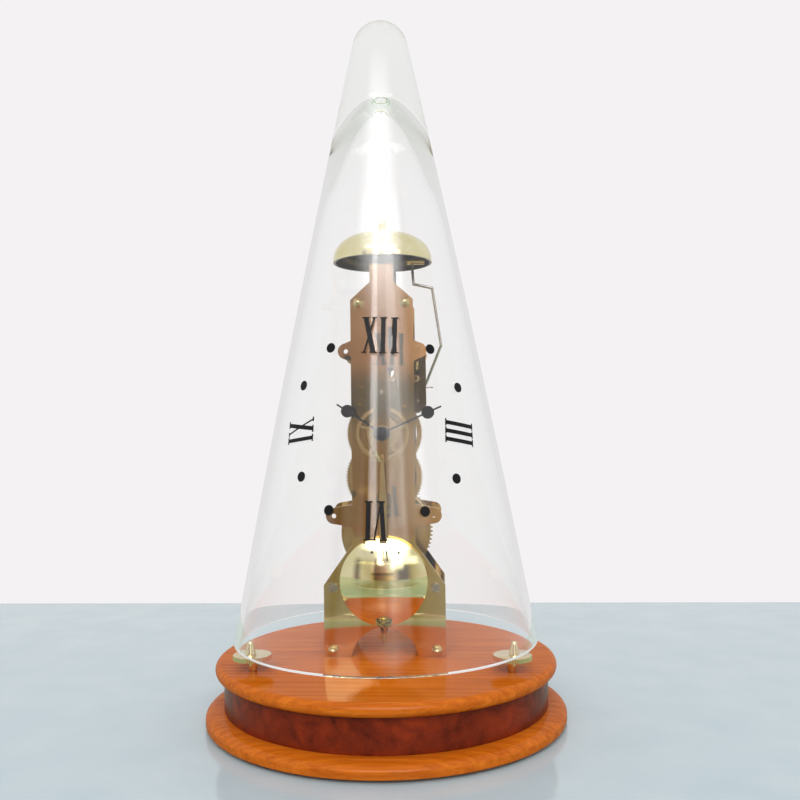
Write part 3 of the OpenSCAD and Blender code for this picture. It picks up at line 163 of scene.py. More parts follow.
# Tall windows behind the viewer, softened by net curtains: their middle and half width in degrees
# to the right, the blur of their sides, where they fade in and out in degrees up, and how strong
lit_room = room_colour.outputs[mixed]
for middle, half_w, blur, fade_in, fade_out, strength in (
        (-1, 20, 26, (29, 36), (43, 50), 6.5),
        (10, 20, 10, (20, 27), (34, 40), 2.2),
        (-7, 3, 2.5, (12, 16), (26, 32), 3.2),
        (15, 7, 4, (5, 14), (26, 32), 2.1),
        (31, 10, 7, (12, 16.5), (20, 25), 1.7)):
    aside = add_node(tree, "ShaderNodeMath", {"operation": "SUBTRACT", 1: radians(middle)},
                     {0: turn})
    off_middle = add_node(tree, "ShaderNodeMath", {"operation": "ABSOLUTE"},
                          {0: aside.outputs[0]})
    glow = add_node(tree, "ShaderNodeMapRange",
                    {"interpolation_type": "SMOOTHSTEP", "From Min": radians(half_w - blur / 2),
                     "From Max": radians(half_w + blur), "To Min": strength, "To Max": 0},
                    {"Value": off_middle.outputs[0]}).outputs[0]
    for (start, end), first, last in ((fade_in, 0, 1), (fade_out, 1, 0)):
        fade = add_node(tree, "ShaderNodeMapRange",
                        {"interpolation_type": "SMOOTHSTEP", "From Min": sin(radians(start)),
                         "From Max": sin(radians(end)), "To Min": first, "To Max": last},
                        {"Value": up})
        glow = add_node(tree, "ShaderNodeMath", {"operation": "MULTIPLY"},
                        {0: glow, 1: fade.outputs[0]}).outputs[0]
    lit_room = add_node(tree, "ShaderNodeMix",
                        {"data_type": "RGBA", "blend_type": "ADD", "Factor": 1.0},
                        {colour_a: lit_room, colour_b: glow}).outputs[mixed]

# A ray that comes straight from the eye, or through nothing but glass, sees the wall
ray = add_node(tree, "ShaderNodeLightPath")
is_zero = {"operation": "COMPARE", 1: 0, 2: 0.5}
past_metal = add_node(tree, "ShaderNodeMath", is_zero, {0: ray.outputs["Glossy Depth"]})
past_wood = add_node(tree, "ShaderNodeMath", is_zero, {0: ray.outputs["Diffuse Depth"]})
straight = add_node(tree, "ShaderNodeMath", {"operation": "MULTIPLY"},
                    {0: past_metal.outputs[0], 1: past_wood.outputs[0]})
from_glass = add_node(tree, "ShaderNodeMath", {"operation": "MULTIPLY"},
                      {0: ray.outputs["Is Transmission Ray"], 1: straight.outputs[0]})
sees_wall = add_node(tree, "ShaderNodeMath", {"operation": "MAXIMUM"},
                     {0: ray.outputs["Is Camera Ray"], 1: from_glass.outputs[0]})
studio_light = add_node(tree, "ShaderNodeBackground", {"Strength": 0.85}, {"Color": lit_room})
plain_wall = add_node(tree, "ShaderNodeBackground", {"Color": white_wall, "Strength": 1.0})
chosen = add_node(tree, "ShaderNodeMixShader", {},
                  {0: sees_wall.outputs[0], 1: studio_light.outputs[0], 2: plain_wall.outputs[0]})
add_node(tree, "ShaderNodeOutputWorld", {}, {"Surface": chosen.outputs[0]})

# Window light: two tall panes behind the viewer, each of a low part and a brighter high part.
# They light the clock from the front; what the glass mirrors of them is drawn in the room above.
window_distance, sill_z, split_z, head_z = 2.2, 0.7, 1.35, 2.4
for name, side_angle, width, low_end, high_end, brightness in (
        ("narrow_pane_low", -8, 0.3, sill_z, split_z, 2.2),
        ("narrow_pane_high", -8, 0.3, split_z, head_z, 6),
        ("wide_pane_low", 15.5, 0.5, sill_z, split_z, 1.2),
        ("wide_pane_high", 15.5, 0.5, split_z, head_z, 2.6)):
    pane = bpy.data.lights.new(name, "AREA")
    pane.shape = "RECTANGLE"
    pane.size, pane.size_y = width, high_end - low_end
    pane.energy = brightness * pi * pane.size * pane.size_y
    holder = bpy.data.objects.new(name, pane)
    holder.location = (window_distance * sin(radians(side_angle)),
                       -window_distance * cos(radians(side_angle)), (low_end + high_end) / 2)
    holder.rotation_euler = (radians(90), 0, radians(side_angle))
    holder.visible_camera = False
    holder.visible_glossy = False
    bpy.context.scene.collection.objects.link(holder)


# Table: the top that the clock stands on, lacquered pale blue-grey to a gloss. It ends behind the
# clock, where the white wall starts.
def new_material(name, values):
    """Starts a material, and gives it, its tree, its shader and its Object coordinates."""
    material = bpy.data.materials.new(name)
    material.use_nodes = True
    tree = material.node_tree
    surface = tree.nodes["Principled BSDF"]
    for socket, value in values.items():
        surface.inputs[socket].default_value = value
    return material, tree, surface, add_node(tree, "ShaderNodeTexCoord").outputs["Object"]


table_front, table_back, table_half_w = -0.9, 0.335, 1.3
table_depth = table_back - table_front
bpy.ops.object.select_all(action="DESELECT")
bpy.ops.mesh.primitive_plane_add(size=1, location=(0, (table_front + table_back) / 2, 0))
table = bpy.context.object
table.name = "table"
table.scale = (2 * table_half_w, table_depth, 1)
bpy.ops.object.transform_apply(location=True, rotation=False, scale=True)
# Hard lacquer: a pale, nearly even colour that mirrors the foot of the clock softly
table_finish, tree, surface, place = new_material("lacquered_table_top", {"Roughness": 0.1})
# The scale of a pattern is how many of its marks a metre holds: here clouds of 40 mm in the lacquer
clouds = add_node(tree, "ShaderNodeTexNoise", {"Scale": 25, "Detail": 5}, {"Vector": place})
lacquer = add_node(tree, "ShaderNodeValToRGB", {"stops": [(0.3, "#b3c5cb"), (0.7, "#bccbd0")]},
                   {"Fac": clouds.outputs[0]})
# Painted reflection and shadow: rays mirrored in the brass see the table painted pale green near
# the clock, a painted highlight for a bright front edge, and past that edge a dark band for the
# floor of the room and the viewer's shadow, by metres in front of or behind the clock
painted_mirror_view = [(table_front, "#868c5e"), (-0.289, "#7e885a"), (-0.286, "#f3efdc"),
              (-0.282, "#f3efdc"), (-0.279, "#8ca48c"), (-0.105, "#a0b8a4"),
              (table_back, "#b5c6cc")]
across = add_node(tree, "ShaderNodeSeparateXYZ", {}, {"Vector": place})
along = add_node(tree, "ShaderNodeMapRange", {"From Min": table_front, "From Max": table_back},
                 {"Value": across.outputs["Y"]})
painted_reflection = add_node(tree, "ShaderNodeValToRGB",
                    {"stops": [((y - table_front) / table_depth, colour)
                               for y, colour in painted_mirror_view]}, {"Fac": along.outputs[0]})
# To the left and right of the clock the painted reflection is pale green alone, without the dark
# band
side_from, side_to = 0.15, 0.4
aside = add_node(tree, "ShaderNodeMath", {"operation": "ABSOLUTE"}, {0: across.outputs["X"]})
to_side = add_node(tree, "ShaderNodeMapRange", {"From Min": side_from, "From Max": side_to},
                   {"Value": aside.outputs[0]})
painted_reflection_seen = add_node(tree, "ShaderNodeMix", {"data_type": "RGBA", colour_b: linear("#b4c8b2")},
                      {"Factor": to_side.outputs[0], colour_a: painted_reflection.outputs[0]})
# A ray that was mirrored once or more comes from the brass and gets the painted reflection colour,
# and the top itself shines less to it
in_brass = add_node(tree, "ShaderNodeMath", {"operation": "GREATER_THAN", 1: 0.5},
                    {0: add_node(tree, "ShaderNodeLightPath").outputs["Glossy Depth"]})
seen = add_node(tree, "ShaderNodeMix", {"data_type": "RGBA"},
                {"Factor": in_brass.outputs[0], colour_a: lacquer.outputs[0],
                 colour_b: painted_reflection_seen.outputs[mixed]})
tree.links.new(seen.outputs[mixed], surface.inputs["Base Color"])
shine = add_node(tree, "ShaderNodeMapRange", {"To Min": 0.5, "To Max": 0.03},
                 {"Value": in_brass.outputs[0]})
tree.links.new(shine.outputs[0], surface.inputs["Specular IOR Level"])
table.data.materials.append(table_finish)


# Felt: a thin dark green disc glued under the flange, so that the base doesn't scratch a table.
# The short fibres give a dull, slightly mottled surface.
def turned_piece(name, profile, steps=160):
    """Turns a profile of (radius, height) points about the upright axis."""
    bpy.ops.object.select_all(action="DESELECT")
    bpy.ops.mesh.primitive_plane_add(size=0.001)
    piece = bpy.context.object
    piece.name = name
    bpy.ops.object.mode_set(mode="EDIT")
    bpy.ops.mesh.select_all(action="SELECT")
    bpy.ops.mesh.merge(type="CENTER")
    last = (0, 0)
    for i, (r, z) in enumerate(profile):
        step = (r - last[0], 0, z - last[1])
        if i:
            bpy.ops.mesh.extrude_region_move(TRANSFORM_OT_translate={"value": step})
        else:
            bpy.ops.transform.translate(value=step)
        last = (r, z)
    bpy.ops.mesh.select_all(action="SELECT")
    bpy.ops.mesh.spin(steps=steps, angle=2 * pi, center=(0, 0, 0), axis=(0, 0, 1))
    bpy.ops.mesh.select_all(action="SELECT")
    bpy.ops.mesh.remove_doubles(threshold=1e-6)
    bpy.ops.mesh.delete_loose()
    bpy.ops.mesh.normals_make_consistent(inside=False)
    bpy.ops.object.mode_set(mode="OBJECT")
    # A thin shell can come out of that inside out, which shows as a volume below zero
    if sum(face.area * face.center.dot(face.normal) for face in piece.data.polygons) < 0:
        piece.data.flip_normals()
    bpy.ops.object.shade_smooth_by_angle(angle=radians(20))
    return piece


def flat_disc(low, high, edge):
    """The profile of a disc between the corners of a box, with its two rims broken by an edge."""
    return [(0, low.z), (high.x - edge, low.z), (high.x, low.z + edge),
            (high.x, high.z - edge), (high.x - edge, high.z), (0, high.z)]


def stand_for(piece, node, material):
    """Gives a new piece its finish and puts it in the place of a CAD node."""
    piece.data.materials.clear()
    piece.data.materials.append(material)
    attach(piece, frame["nodes"][node]["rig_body"])
    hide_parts(node)


felt, tree, surface, place = new_material("wool_felt", {"Roughness": 0.95})
# Tufts of fibres are about 1.1 mm across
tufts = add_node(tree, "ShaderNodeTexNoise", {"Scale": 900, "Detail": 4}, {"Vector": place})
shades = add_node(tree, "ShaderNodeValToRGB", {"stops": [(0, "#101a14"), (1, "#24352a")]},
                  {"Fac": tufts.outputs[0]})
tree.links.new(shades.outputs[0], surface.inputs["Base Color"])
felt_edge = 0.0004
felt_disc = turned_piece("felt_disc", flat_disc(*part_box("felt_pad"), felt_edge), 96)
stand_for(felt_disc, "felt_pad", felt)


# Base top and flange: two turned discs of alder stained to a warm cherry colour, under a clear
# satin lacquer. The grain runs along the width of the clock.
def arc(centre, radii, first, last, count):
    """Points along an ellipse from one angle to another, in degrees."""
    angles = [radians(first + (last - first) * i / count) for i in range(count + 1)]
    return [(centre[0] + radii[0] * cos(a), centre[1] + radii[1] * sin(a)) for a in angles]


# The stain leaves the grain as darker bands, and the lacquer puts a soft sheen over it
cherry, tree, surface, place = new_material(
    "cherry_stained_alder",
    {"Specular IOR Level": 0, "Coat Weight": 0.32, "Coat Roughness": 0.12})
# Grain bands are about 3 mm wide and 120 mm long
stretched = add_node(tree, "ShaderNodeMapping",
                     {"Scale": (8, 330, 330), "Rotation": (0, 0, radians(2))}, {"Vector": place})
bands = add_node(tree, "ShaderNodeTexNoise",
                 {"Scale": 1, "Detail": 5, "Roughness": 0.55, "Distortion": 0.4},
                 {"Vector": stretched.outputs[0]})
grain = add_node(tree, "ShaderNodeValToRGB", {"stops": [(0.3, "#ad520c"), (0.72, "#d0701a")]},
                 {"Fac": bands.outputs[0]})
# Pores are hair lines, drawn about 0.7 mm wide so that they show
fine = add_node(tree, "ShaderNodeMapping", {"Scale": (40, 1400, 1400)}, {"Vector": place})
pores = add_node(tree, "ShaderNodeTexNoise", {"Scale": 1, "Detail": 3},
                 {"Vector": fine.outputs[0]})
pore_dark = add_node(tree, "ShaderNodeMapRange",
                     {"From Min": 0.35, "From Max": 0.5, "To Min": 0.82, "To Max": 1},
                     {"Value": pores.outputs[0]})
stained = add_node(tree, "ShaderNodeMix",
                   {"data_type": "RGBA", "blend_type": "MULTIPLY", "Factor": 1.0},
                   {colour_a: grain.outputs[0], colour_b: pore_dark.outputs[0]})
tree.links.new(stained.outputs[mixed], surface.inputs["Base Color"])
gloss = add_node(tree, "ShaderNodeMapRange", {"To Min": 0.3, "To Max": 0.42},
                 {"Value": bands.outputs[0]})
tree.links.new(gloss.outputs[0], surface.inputs["Roughness"])
relief = add_node(tree, "ShaderNodeBump", {"Strength": 0.06, "Distance": 0.0004},
                  {"Height": pores.outputs[0]})
tree.links.new(relief.outputs[0], surface.inputs["Normal"])

low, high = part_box("base_flange")
drum_low, drum_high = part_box("base_drum")
foot_r, edge_h, ledge = 0.001, 0.0035, 0.001
shoulder = (high.x - drum_high.x - ledge, high.z - low.z - edge_h)
flange = turned_piece("turned_flange", [(0, low.z), (high.x - foot_r, low.z)]
                      + arc((high.x - foot_r, low.z + foot_r), (foot_r, foot_r), -90, 0, 4)[1:]
                      + arc((drum_high.x + ledge, low.z + edge_h), shoulder, 0, 90, 16)
                      + [(0, high.z)])
stand_for(flange, "base_flange", cherry)
low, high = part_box("base_top")
half_h = (high.z - low.z) / 2
top_board = turned_piece("turned_top_board", [(0, low.z)]
                         + arc((high.x - half_h, low.z + half_h), (half_h, half_h), -90, 90, 24)
                         + [(0, high.z)])
stand_for(top_board, "base_top", cherry)

# Base drum: the disc between the other two, faced with dark burl veneer that was stained red-brown
# and lacquered. The burl shows as clouds with small eyes and curls in them.
burl, tree, surface, place = new_material(
    "burl_veneer", {"Roughness": 0.32, "Specular IOR Level": 0.12, "Coat Weight": 0.06,
                    "Coat Roughness": 0.06})
# Clouds are about 15 mm across, eyes and curls about 3 mm
clouds = add_node(tree, "ShaderNodeTexNoise", {"Scale": 65, "Detail": 4, "Distortion": 1.2},
                  {"Vector": place})
curls = add_node(tree, "ShaderNodeTexNoise",
                 {"Scale": 330, "Detail": 6, "Roughness": 0.65, "Distortion": 2.5},
                 {"Vector": place})
curl_part = 0.45
figure = add_node(tree, "ShaderNodeMath", {"operation": "MULTIPLY_ADD", 1: curl_part},
                  {0: curls.outputs[0], 2: clouds.outputs[0]})
tones = add_node(tree, "ShaderNodeValToRGB", {"stops": [(0.5, "#481408"), (0.95, "#842d0f")]},
                 {"Fac": figure.outputs[0]})
tree.links.new(tones.outputs[0], surface.inputs["Base Color"])
drum_edge = 0.0003
drum = turned_piece("veneered_drum", flat_disc(drum_low, drum_high, drum_edge))
stand_for(drum, "base_drum", burl)

# Screws and bolts: bright zinc-plated steel, turned from bar, that hold the base together and the
# movement down from below. The steel pieces of the movement share the finish.
# Plated steel: a cool grey shine, broken up by tool marks
steel, tree, surface, place = new_material(
    "bright_turned_steel", {"Base Color": linear("#b9b4ad"), "Metallic": 1})
# Tool marks are finer than 0.1 mm, and are drawn about 0.7 mm apart so that they show
marks = add_node(tree, "ShaderNodeTexNoise", {"Scale": 1500, "Detail": 3}, {"Vector": place})
dull = add_node(tree, "ShaderNodeMapRange", {"To Min": 0.16, "To Max": 0.34},
                {"Value": marks.outputs[0]})
tree.links.new(dull.outputs[0], surface.inputs["Roughness"])


def finished_copy(node, material, chamfer=0.0001):
    """A copy of a CAD node with its edges broken by a fine chamfer and its round faces smooth."""
    piece = bpy.data.objects.new("finished_" + node, frame["nodes"][node].data.copy())
    bpy.context.scene.collection.objects.link(piece)
    bpy.ops.object.select_all(action="DESELECT")
    piece.select_set(True)
    bpy.context.view_layer.objects.active = piece
    bpy.ops.object.mode_set(mode="EDIT")
    bpy.ops.mesh.select_all(action="SELECT")
    bpy.ops.mesh.remove_doubles(threshold=1e-6)
    bpy.ops.mesh.dissolve_limited(angle_limit=radians(0.5))
    bpy.ops.object.mode_set(mode="OBJECT")
    edge_break = piece.modifiers.new("edge_break", "BEVEL")
    edge_break.width = chamfer
    edge_break.segments = 1
    edge_break.limit_method = "ANGLE"
    edge_break.angle_limit = radians(32)
    bpy.ops.object.modifier_apply(modifier=edge_break.name)
    bpy.ops.object.mode_set(mode="EDIT")
    bpy.ops.mesh.select_all(action="SELECT")
    bpy.ops.mesh.dissolve_degenerate(threshold=1e-7)
    bpy.ops.object.mode_set(mode="OBJECT")
    bpy.ops.object.shade_smooth_by_angle(angle=radians(26))
    stand_for(piece, node, material)
    return piece


for node in ("base_screws", "movement_bolts"):
    finished_copy(node, steel)

# Glass supports: three brass posts screwed into the top board, each with a knurled disc that the
# rim of the glass stands on and a tapered tip that centres it.
# Polished brass under lacquer: a pale gold mirror that shows the room
brass, tree, surface, place = new_material("polished_lacquered_brass", {"Metallic": 1})
# The lacquer is a little uneven, over patches of about 12 mm
patches = add_node(tree, "ShaderNodeTexNoise", {"Scale": 85, "Detail": 3}, {"Vector": place})
tint = add_node(tree, "ShaderNodeValToRGB", {"stops": [(0.35, "#dcc593"), (0.7, "#e3cf9f")]},
                {"Fac": patches.outputs[0]})
tree.links.new(tint.outputs[0], surface.inputs["Base Color"])
# Polishing marks are hair lines, drawn about 1.1 mm apart so that they show
polish = add_node(tree, "ShaderNodeTexNoise", {"Scale": 900, "Detail": 4}, {"Vector": place})
sheen = add_node(tree, "ShaderNodeMapRange", {"To Min": 0.03, "To Max": 0.1},
                 {"Value": polish.outputs[0]})
tree.links.new(sheen.outputs[0], surface.inputs["Roughness"])
post_edge = 0.00015
for node in ("support_posts", "support_discs", "support_tips"):
    finished_copy(node, brass, post_edge)

# Movement plates: sheet brass, punched, polished and lacquered, with their edges broken.
# The hammer bracket, screwed behind the right edge of the front plate, gets dark brass as painted
# shade.
plate_edge = 0.00018
for node in ("front_plate", "back_plate"):
    finished_copy(node, brass, plate_edge)
# Painted shade: brass darkened to a dark brown metal with a soft shine, for parts that lie in shade
shade_dark_brass, tree, surface, place = new_material("dark_brass_painted_shade", {"Metallic": 1, "Roughness": 0.22})
# The dark brown varies at random in soft clouds of about 6 mm
clouds = add_node(tree, "ShaderNodeTexNoise", {"Scale": 165, "Detail": 3}, {"Vector": place})
painted_shade_tones = add_node(tree, "ShaderNodeValToRGB", {"stops": [(0, "#4e4229"), (1, "#655637")]},
               {"Fac": clouds.outputs[0]})
tree.links.new(painted_shade_tones.outputs[0], surface.inputs["Base Color"])
finished_copy("hammer_bracket", shade_dark_brass, plate_edge)


# Bracket fittings: a turned bush and a round-headed rivet of bright brass, pressed into the
# dark bracket from the front.
def set_in_place(piece, location, tilt=0):
    """Tilts a new piece about X by degrees and moves it, with its object left at the origin."""
    piece.rotation_euler = (radians(tilt), 0, 0)
    piece.location = location
    bpy.ops.object.transform_apply(location=True, rotation=True, scale=False)


def joined(pieces, name):
    """Makes one piece of several."""
    bpy.ops.object.select_all(action="DESELECT")
    for piece in pieces:
        piece.select_set(True)
    bpy.context.view_layer.objects.active = pieces[0]
    bpy.ops.object.join()
    pieces[0].name = name
    return pieces[0]


bush_bore, bush_r, bush_h = 0.00105, 0.0021, 0.0009
bush = [(bush_bore, 0), (bush_r, 0), (bush_r, 0.0006), (0.0018, bush_h), (0.0012, bush_h),
        (bush_bore, 0.0008), (bush_bore, 0)]
rivet_r, rivet_rim, rivet_dome = 0.0012, 0.0002, 0.0006
rivet = [(0, 0), (rivet_r, 0)] + arc((0, rivet_rim), (rivet_r, rivet_dome), 0, 90, 8)
bracket_face = -0.0104
fittings = []
for x, z, profile in ((0.0197, 0.199, bush), (0.0178, 0.2094, rivet)):
    fitting = turned_piece("bracket_fitting", profile, 40)
    set_in_place(fitting, (x, bracket_face, z), 90)
    fittings.append(fitting)
fittings = joined(fittings, "bracket_fittings")
fittings.data.materials.append(brass)
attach(fittings, frame["nodes"]["hammer_bracket"]["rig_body"])

# Pillars, washers and screws of the frame: turned brass that holds the plates apart, with slotted
# steel screws at the legs and a steel pin that stops the hammer.
for node in ("top_pillars", "lower_pillars", "foot_pillars", "washers", "frame_screws"):
    finished_copy(node, brass)
for node in ("leg_screws", "stop_pin"):
    finished_copy(node, steel)

# Cap nuts: turned brass nuts with a flange and a polished round cap, screwed on the pillars' ends
# through the plates, four in front and four behind.
nut_points = [point.co for point in frame["nodes"]["cap_nuts"].data.vertices]
low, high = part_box("cap_nuts")
middle = (low + high) / 2
flange_h, foot_edge, flange_slant = 0.0017, 0.0002, 0.0006
seat_part, cap_part = 0.82, 0.78
cap_nuts = []
for left in (True, False):
    for front in (True, False):
        for upper in (True, False):
            own = [c for c in nut_points if ((c.x < middle.x) == left and (c.y < middle.y) == front
                                             and (c.z > middle.z) == upper)]
            ends_x, ends_y, ends_z = [(min(c[i] for c in own), max(c[i] for c in own))
                                      for i in range(3)]
            nut_r, nut_h = (ends_x[1] - ends_x[0]) / 2, ends_y[1] - ends_y[0]
            nut = turned_piece("cap_nut", [(0, 0), (nut_r - foot_edge, 0), (nut_r, foot_edge),
                                           (nut_r, flange_h - flange_slant),
                                           (nut_r - flange_slant, flange_h),
                                           (seat_part * nut_r, flange_h)]
                               + arc((0, flange_h), (cap_part * nut_r, nut_h - flange_h),
                                     0, 90, 14), 48)
            plate_y = ends_y[1] if front else ends_y[0]
            set_in_place(nut, (sum(ends_x) / 2, plate_y, sum(ends_z) / 2), 90 if front else -90)
            cap_nuts.append(nut)
stand_for(joined(cap_nuts, "turned_cap_nuts"), "cap_nuts", brass)

# Going train: brass wheels with cut teeth on steel arbors, from the spring barrel up to the escape
# wheel, with the ratchet and click that hold the wound spring.
# Brushed brass: a deeper gold than the plates, partly as painted shade for wheels between the
# plates, with its shine drawn out along the strokes
cut_brass, tree, surface, place = new_material("cut_and_brushed_brass", {"Metallic": 1})
# Brush marks are hair lines, drawn about 0.4 mm wide and 6 mm long so that they show
strokes = add_node(tree, "ShaderNodeMapping", {"Scale": (160, 160, 2400)}, {"Vector": place})
brushed = add_node(tree, "ShaderNodeTexNoise", {"Scale": 1, "Detail": 3},
                   {"Vector": strokes.outputs[0]})
warm = add_node(tree, "ShaderNodeValToRGB", {"stops": [(0, "#c4aa72"), (1, "#d6bf8c")]},
                {"Fac": brushed.outputs[0]})
tree.links.new(warm.outputs[0], surface.inputs["Base Color"])
dull = add_node(tree, "ShaderNodeMapRange", {"To Min": 0.16, "To Max": 0.28},
                {"Value": brushed.outputs[0]})
tree.links.new(dull.outputs[0], surface.inputs["Roughness"])
wheel_edge = 0.00006
for node in ("barrel", "barrel_cap", "intermediate_wheel", "centre_wheel", "strike_cam",
             "third_wheel", "escape_wheel", "anchor_bridge"):
    finished_copy(node, cut_brass, wheel_edge)
for node in ("mainspring", "barrel_arbor", "ratchet_wheel", "click", "click_screw",
             "click_spring", "intermediate_arbor", "centre_arbor", "anchor", "anchor_arbor"):
    finished_copy(node, steel, wheel_edge)

# Motion work: the cannon pinion and the minute wheel behind the plate, and the crossed-out hour
# wheel in front of it, which was grained to a satin.
for node in ("cannon_pinion", "minute_wheel"):
    finished_copy(node, cut_brass, wheel_edge)
# Grained brass: a dull gold without clear reflections
satin_brass, tree, surface, place = new_material("grained_satin_brass", {"Metallic": 1})
# Graining lines are hair lines, drawn about 0.4 mm wide and 8 mm long so that they show
strokes = add_node(tree, "ShaderNodeMapping", {"Scale": (2400, 120, 120)}, {"Vector": place})
grained = add_node(tree, "ShaderNodeTexNoise", {"Scale": 1, "Detail": 3},
                   {"Vector": strokes.outputs[0]})
pale = add_node(tree, "ShaderNodeValToRGB", {"stops": [(0, "#a99260"), (1, "#bda673")]},
                {"Fac": grained.outputs[0]})
tree.links.new(pale.outputs[0], surface.inputs["Base Color"])
dull = add_node(tree, "ShaderNodeMapRange", {"To Min": 0.26, "To Max": 0.38},
                {"Value": grained.outputs[0]})
tree.links.new(dull.outputs[0], surface.inputs["Roughness"])
hour_wheel_edge = 0.0003
finished_copy("hour_wheel", satin_brass, hour_wheel_edge)

# Hands: thin steel hands with a round disc near the tip, and the round nut that holds them on the
# centre arbor, all painted satin black.
# Sprayed enamel: nearly black, with a soft shine
black, tree, surface, place = new_material(
    "satin_black_enamel", {"Base Color": linear("#0e0d10"), "Specular IOR Level": 0.2})
# Spray grain is fine dust, drawn about 0.8 mm across so that it shows
spray = add_node(tree, "ShaderNodeTexNoise", {"Scale": 1200, "Detail": 2}, {"Vector": place})
satin = add_node(tree, "ShaderNodeMapRange", {"To Min": 0.28, "To Max": 0.42},
                 {"Value": spray.outputs[0]})
tree.links.new(satin.outputs[0], surface.inputs["Roughness"])
hand_edge = 0.00008
for node in ("hour_hand", "minute_hand"):
    finished_copy(node, black, hand_edge)
low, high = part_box("hand_nut")
ball_r, ball_back, back_part = (high.x - low.x) / 2, high.y - low.y, 0.7
ball = turned_piece("round_hand_nut", [(0, ball_back), (back_part * ball_r, ball_back)]
                    + arc((0, ball_r), (ball_r, ball_r), 35, -90, 20)[1:], 64)
set_in_place(ball, (0, low.y, (low.z + high.z) / 2), -90)
stand_for(ball, "hand_nut", black)

# Pendulum: a flat brass leader clamped on the anchor arbor, a flat rod that hangs from its pin, and
# a lens-shaped bob of two spun shells that rests on a knurled rating nut.
rod = finished_copy("pendulum_rod", satin_brass)
# Its upper end is filed like a lance: widest a little below the top, with a narrow point
rod_top, lance_z, straight_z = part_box("pendulum_rod")[1].z, 0.127, 0.1
lance_w, lance_taper = 1.18, 0.84
bpy.ops.object.mode_set(mode="EDIT")
for cut_z in (straight_z, lance_z):
    bpy.ops.mesh.select_all(action="SELECT")
    bpy.ops.mesh.bisect(plane_co=(0, 0, cut_z), plane_no=(0, 0, 1))
bpy.ops.object.mode_set(mode="OBJECT")
for point in rod.data.vertices:
    if point.co.z > lance_z:
        point.co.x *= lance_w - lance_taper * (point.co.z - lance_z) / (rod_top - lance_z)
    elif point.co.z > straight_z:
        point.co.x *= 1 + (lance_w - 1) * (point.co.z - straight_z) / (lance_z - straight_z)
for node in ("pendulum_leader", "leader_nut"):
    finished_copy(node, brass)
# Painted glints: a dark metal with painted bright spots that stand in for highlights on the
# knurling
glint_brass, tree, surface, place = new_material("dark_brass_with_painted_glints",
                                                 {"Metallic": 1, "Roughness": 0.14})
# The painted bright spots are about 1.2 mm across
glint_spots = add_node(tree, "ShaderNodeTexNoise", {"Scale": 830, "Detail": 2}, {"Vector": place})
painted_glints = add_node(tree, "ShaderNodeValToRGB", {"stops": [(0.4, "#54411f"), (0.6, "#d8bc74")]},
                {"Fac": glint_spots.outputs[0]})
tree.links.new(painted_glints.outputs[0], surface.inputs["Base Color"])
finished_copy("rating_nut", glint_brass)
# Buffed sheet brass: a lemon gold mirror, brighter than the plates
yellow_brass, tree, surface, place = new_material("buffed_yellow_brass", {"Metallic": 1})
# Buffing leaves the spun sheet a little uneven, over patches of about 9 mm
patches = add_node(tree, "ShaderNodeTexNoise", {"Scale": 110, "Detail": 3}, {"Vector": place})
buffed = add_node(tree, "ShaderNodeValToRGB", {"stops": [(0.35, "#eae0a6"), (0.7, "#f3ecbf")]},
                  {"Fac": patches.outputs[0]})
tree.links.new(buffed.outputs[0], surface.inputs["Base Color"])
# Buffing marks are hair lines, drawn about 1.1 mm apart so that they show
scratches = add_node(tree, "ShaderNodeTexNoise", {"Scale": 900, "Detail": 3}, {"Vector": place})
sheen = add_node(tree, "ShaderNodeMapRange", {"To Min": 0.02, "To Max": 0.07},
                 {"Value": scratches.outputs[0]})
tree.links.new(sheen.outputs[0], surface.inputs["Roughness"])
finished_copy("bob_back", yellow_brass)
low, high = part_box("bob_front")
bob_r, bob_h, bob_wall, bob_rise = high.x, high.y - low.y, 0.0008, 0.0448
bob_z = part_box("base_top")[1].z + bob_rise


def cap_curve(r, h, first, last):
    """Points along a round cap of a radius and height, from one part of its arc to another."""
    bend_r = (r * r + h * h) / (2 * h)
    angles = [asin(r / bend_r) * (first + (last - first) * i / 40) for i in range(41)]
    return [(bend_r * sin(a), bend_r * cos(a) - bend_r + h) for a in angles]


bob = turned_piece("spun_bob_front", cap_curve(bob_r - bob_wall, bob_h - bob_wall, 0, 1)
                   + cap_curve(bob_r, bob_h, 1, 0))
set_in_place(bob, (0, high.y, bob_z), 90)
# Filed open at the top for the rod and at the bottom for the nut, from past the rim inwards
past_rim, rod_slot_h, nut_slot_h, past_back = 0.002, 0.0032, 0.005, 0.0001
for slot_w, slot_d, slot_low, slot_high in (
        (0.0043, 0.0046, bob_z + bob_r - rod_slot_h, bob_z + bob_r + past_rim),
        (0.0094, 0.014, bob_z - bob_r - past_rim, bob_z - bob_r + nut_slot_h)):
    bpy.ops.object.select_all(action="DESELECT")
    bpy.ops.mesh.primitive_cube_add(
        size=1, location=(0, high.y + past_back, (slot_low + slot_high) / 2))
    file_cut = bpy.context.object
    file_cut.scale = (slot_w, slot_d, slot_high - slot_low)
    bpy.ops.object.transform_apply(location=True, rotation=False, scale=True)
    bpy.ops.object.select_all(action="DESELECT")
    bob.select_set(True)
    bpy.context.view_layer.objects.active = bob
    cut = bob.modifiers.new("file_cut", "BOOLEAN")
    cut.operation = "DIFFERENCE"
    cut.object = file_cut
    bpy.ops.object.modifier_apply(modifier=cut.name)
    bpy.data.objects.remove(file_cut)
bpy.ops.object.shade_smooth_by_angle(angle=radians(20))
stand_for(bob, "bob_front", yellow_brass)

# Bell: a shallow bell spun from brass sheet and buffed outside, clamped on its steel post by a
# turned finial nut.
low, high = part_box("bell")
bell_r, bell_h = (high.x - low.x) / 2, high.z - low.z
bell_y = (low.y + high.y) / 2
bell_wall, bore, crown_from = 0.0014, 0.002, 84
fullness = 2 / 2.4


def bell_curve(r, h, first, last):
    """Points along a dome that is fuller than an ellipse, from one angle to another in degrees."""
    angles = [radians(first + (last - first) * i / 36) for i in range(37)]
    return [(r * cos(a) ** fullness, h * sin(a) ** fullness) for a in angles]


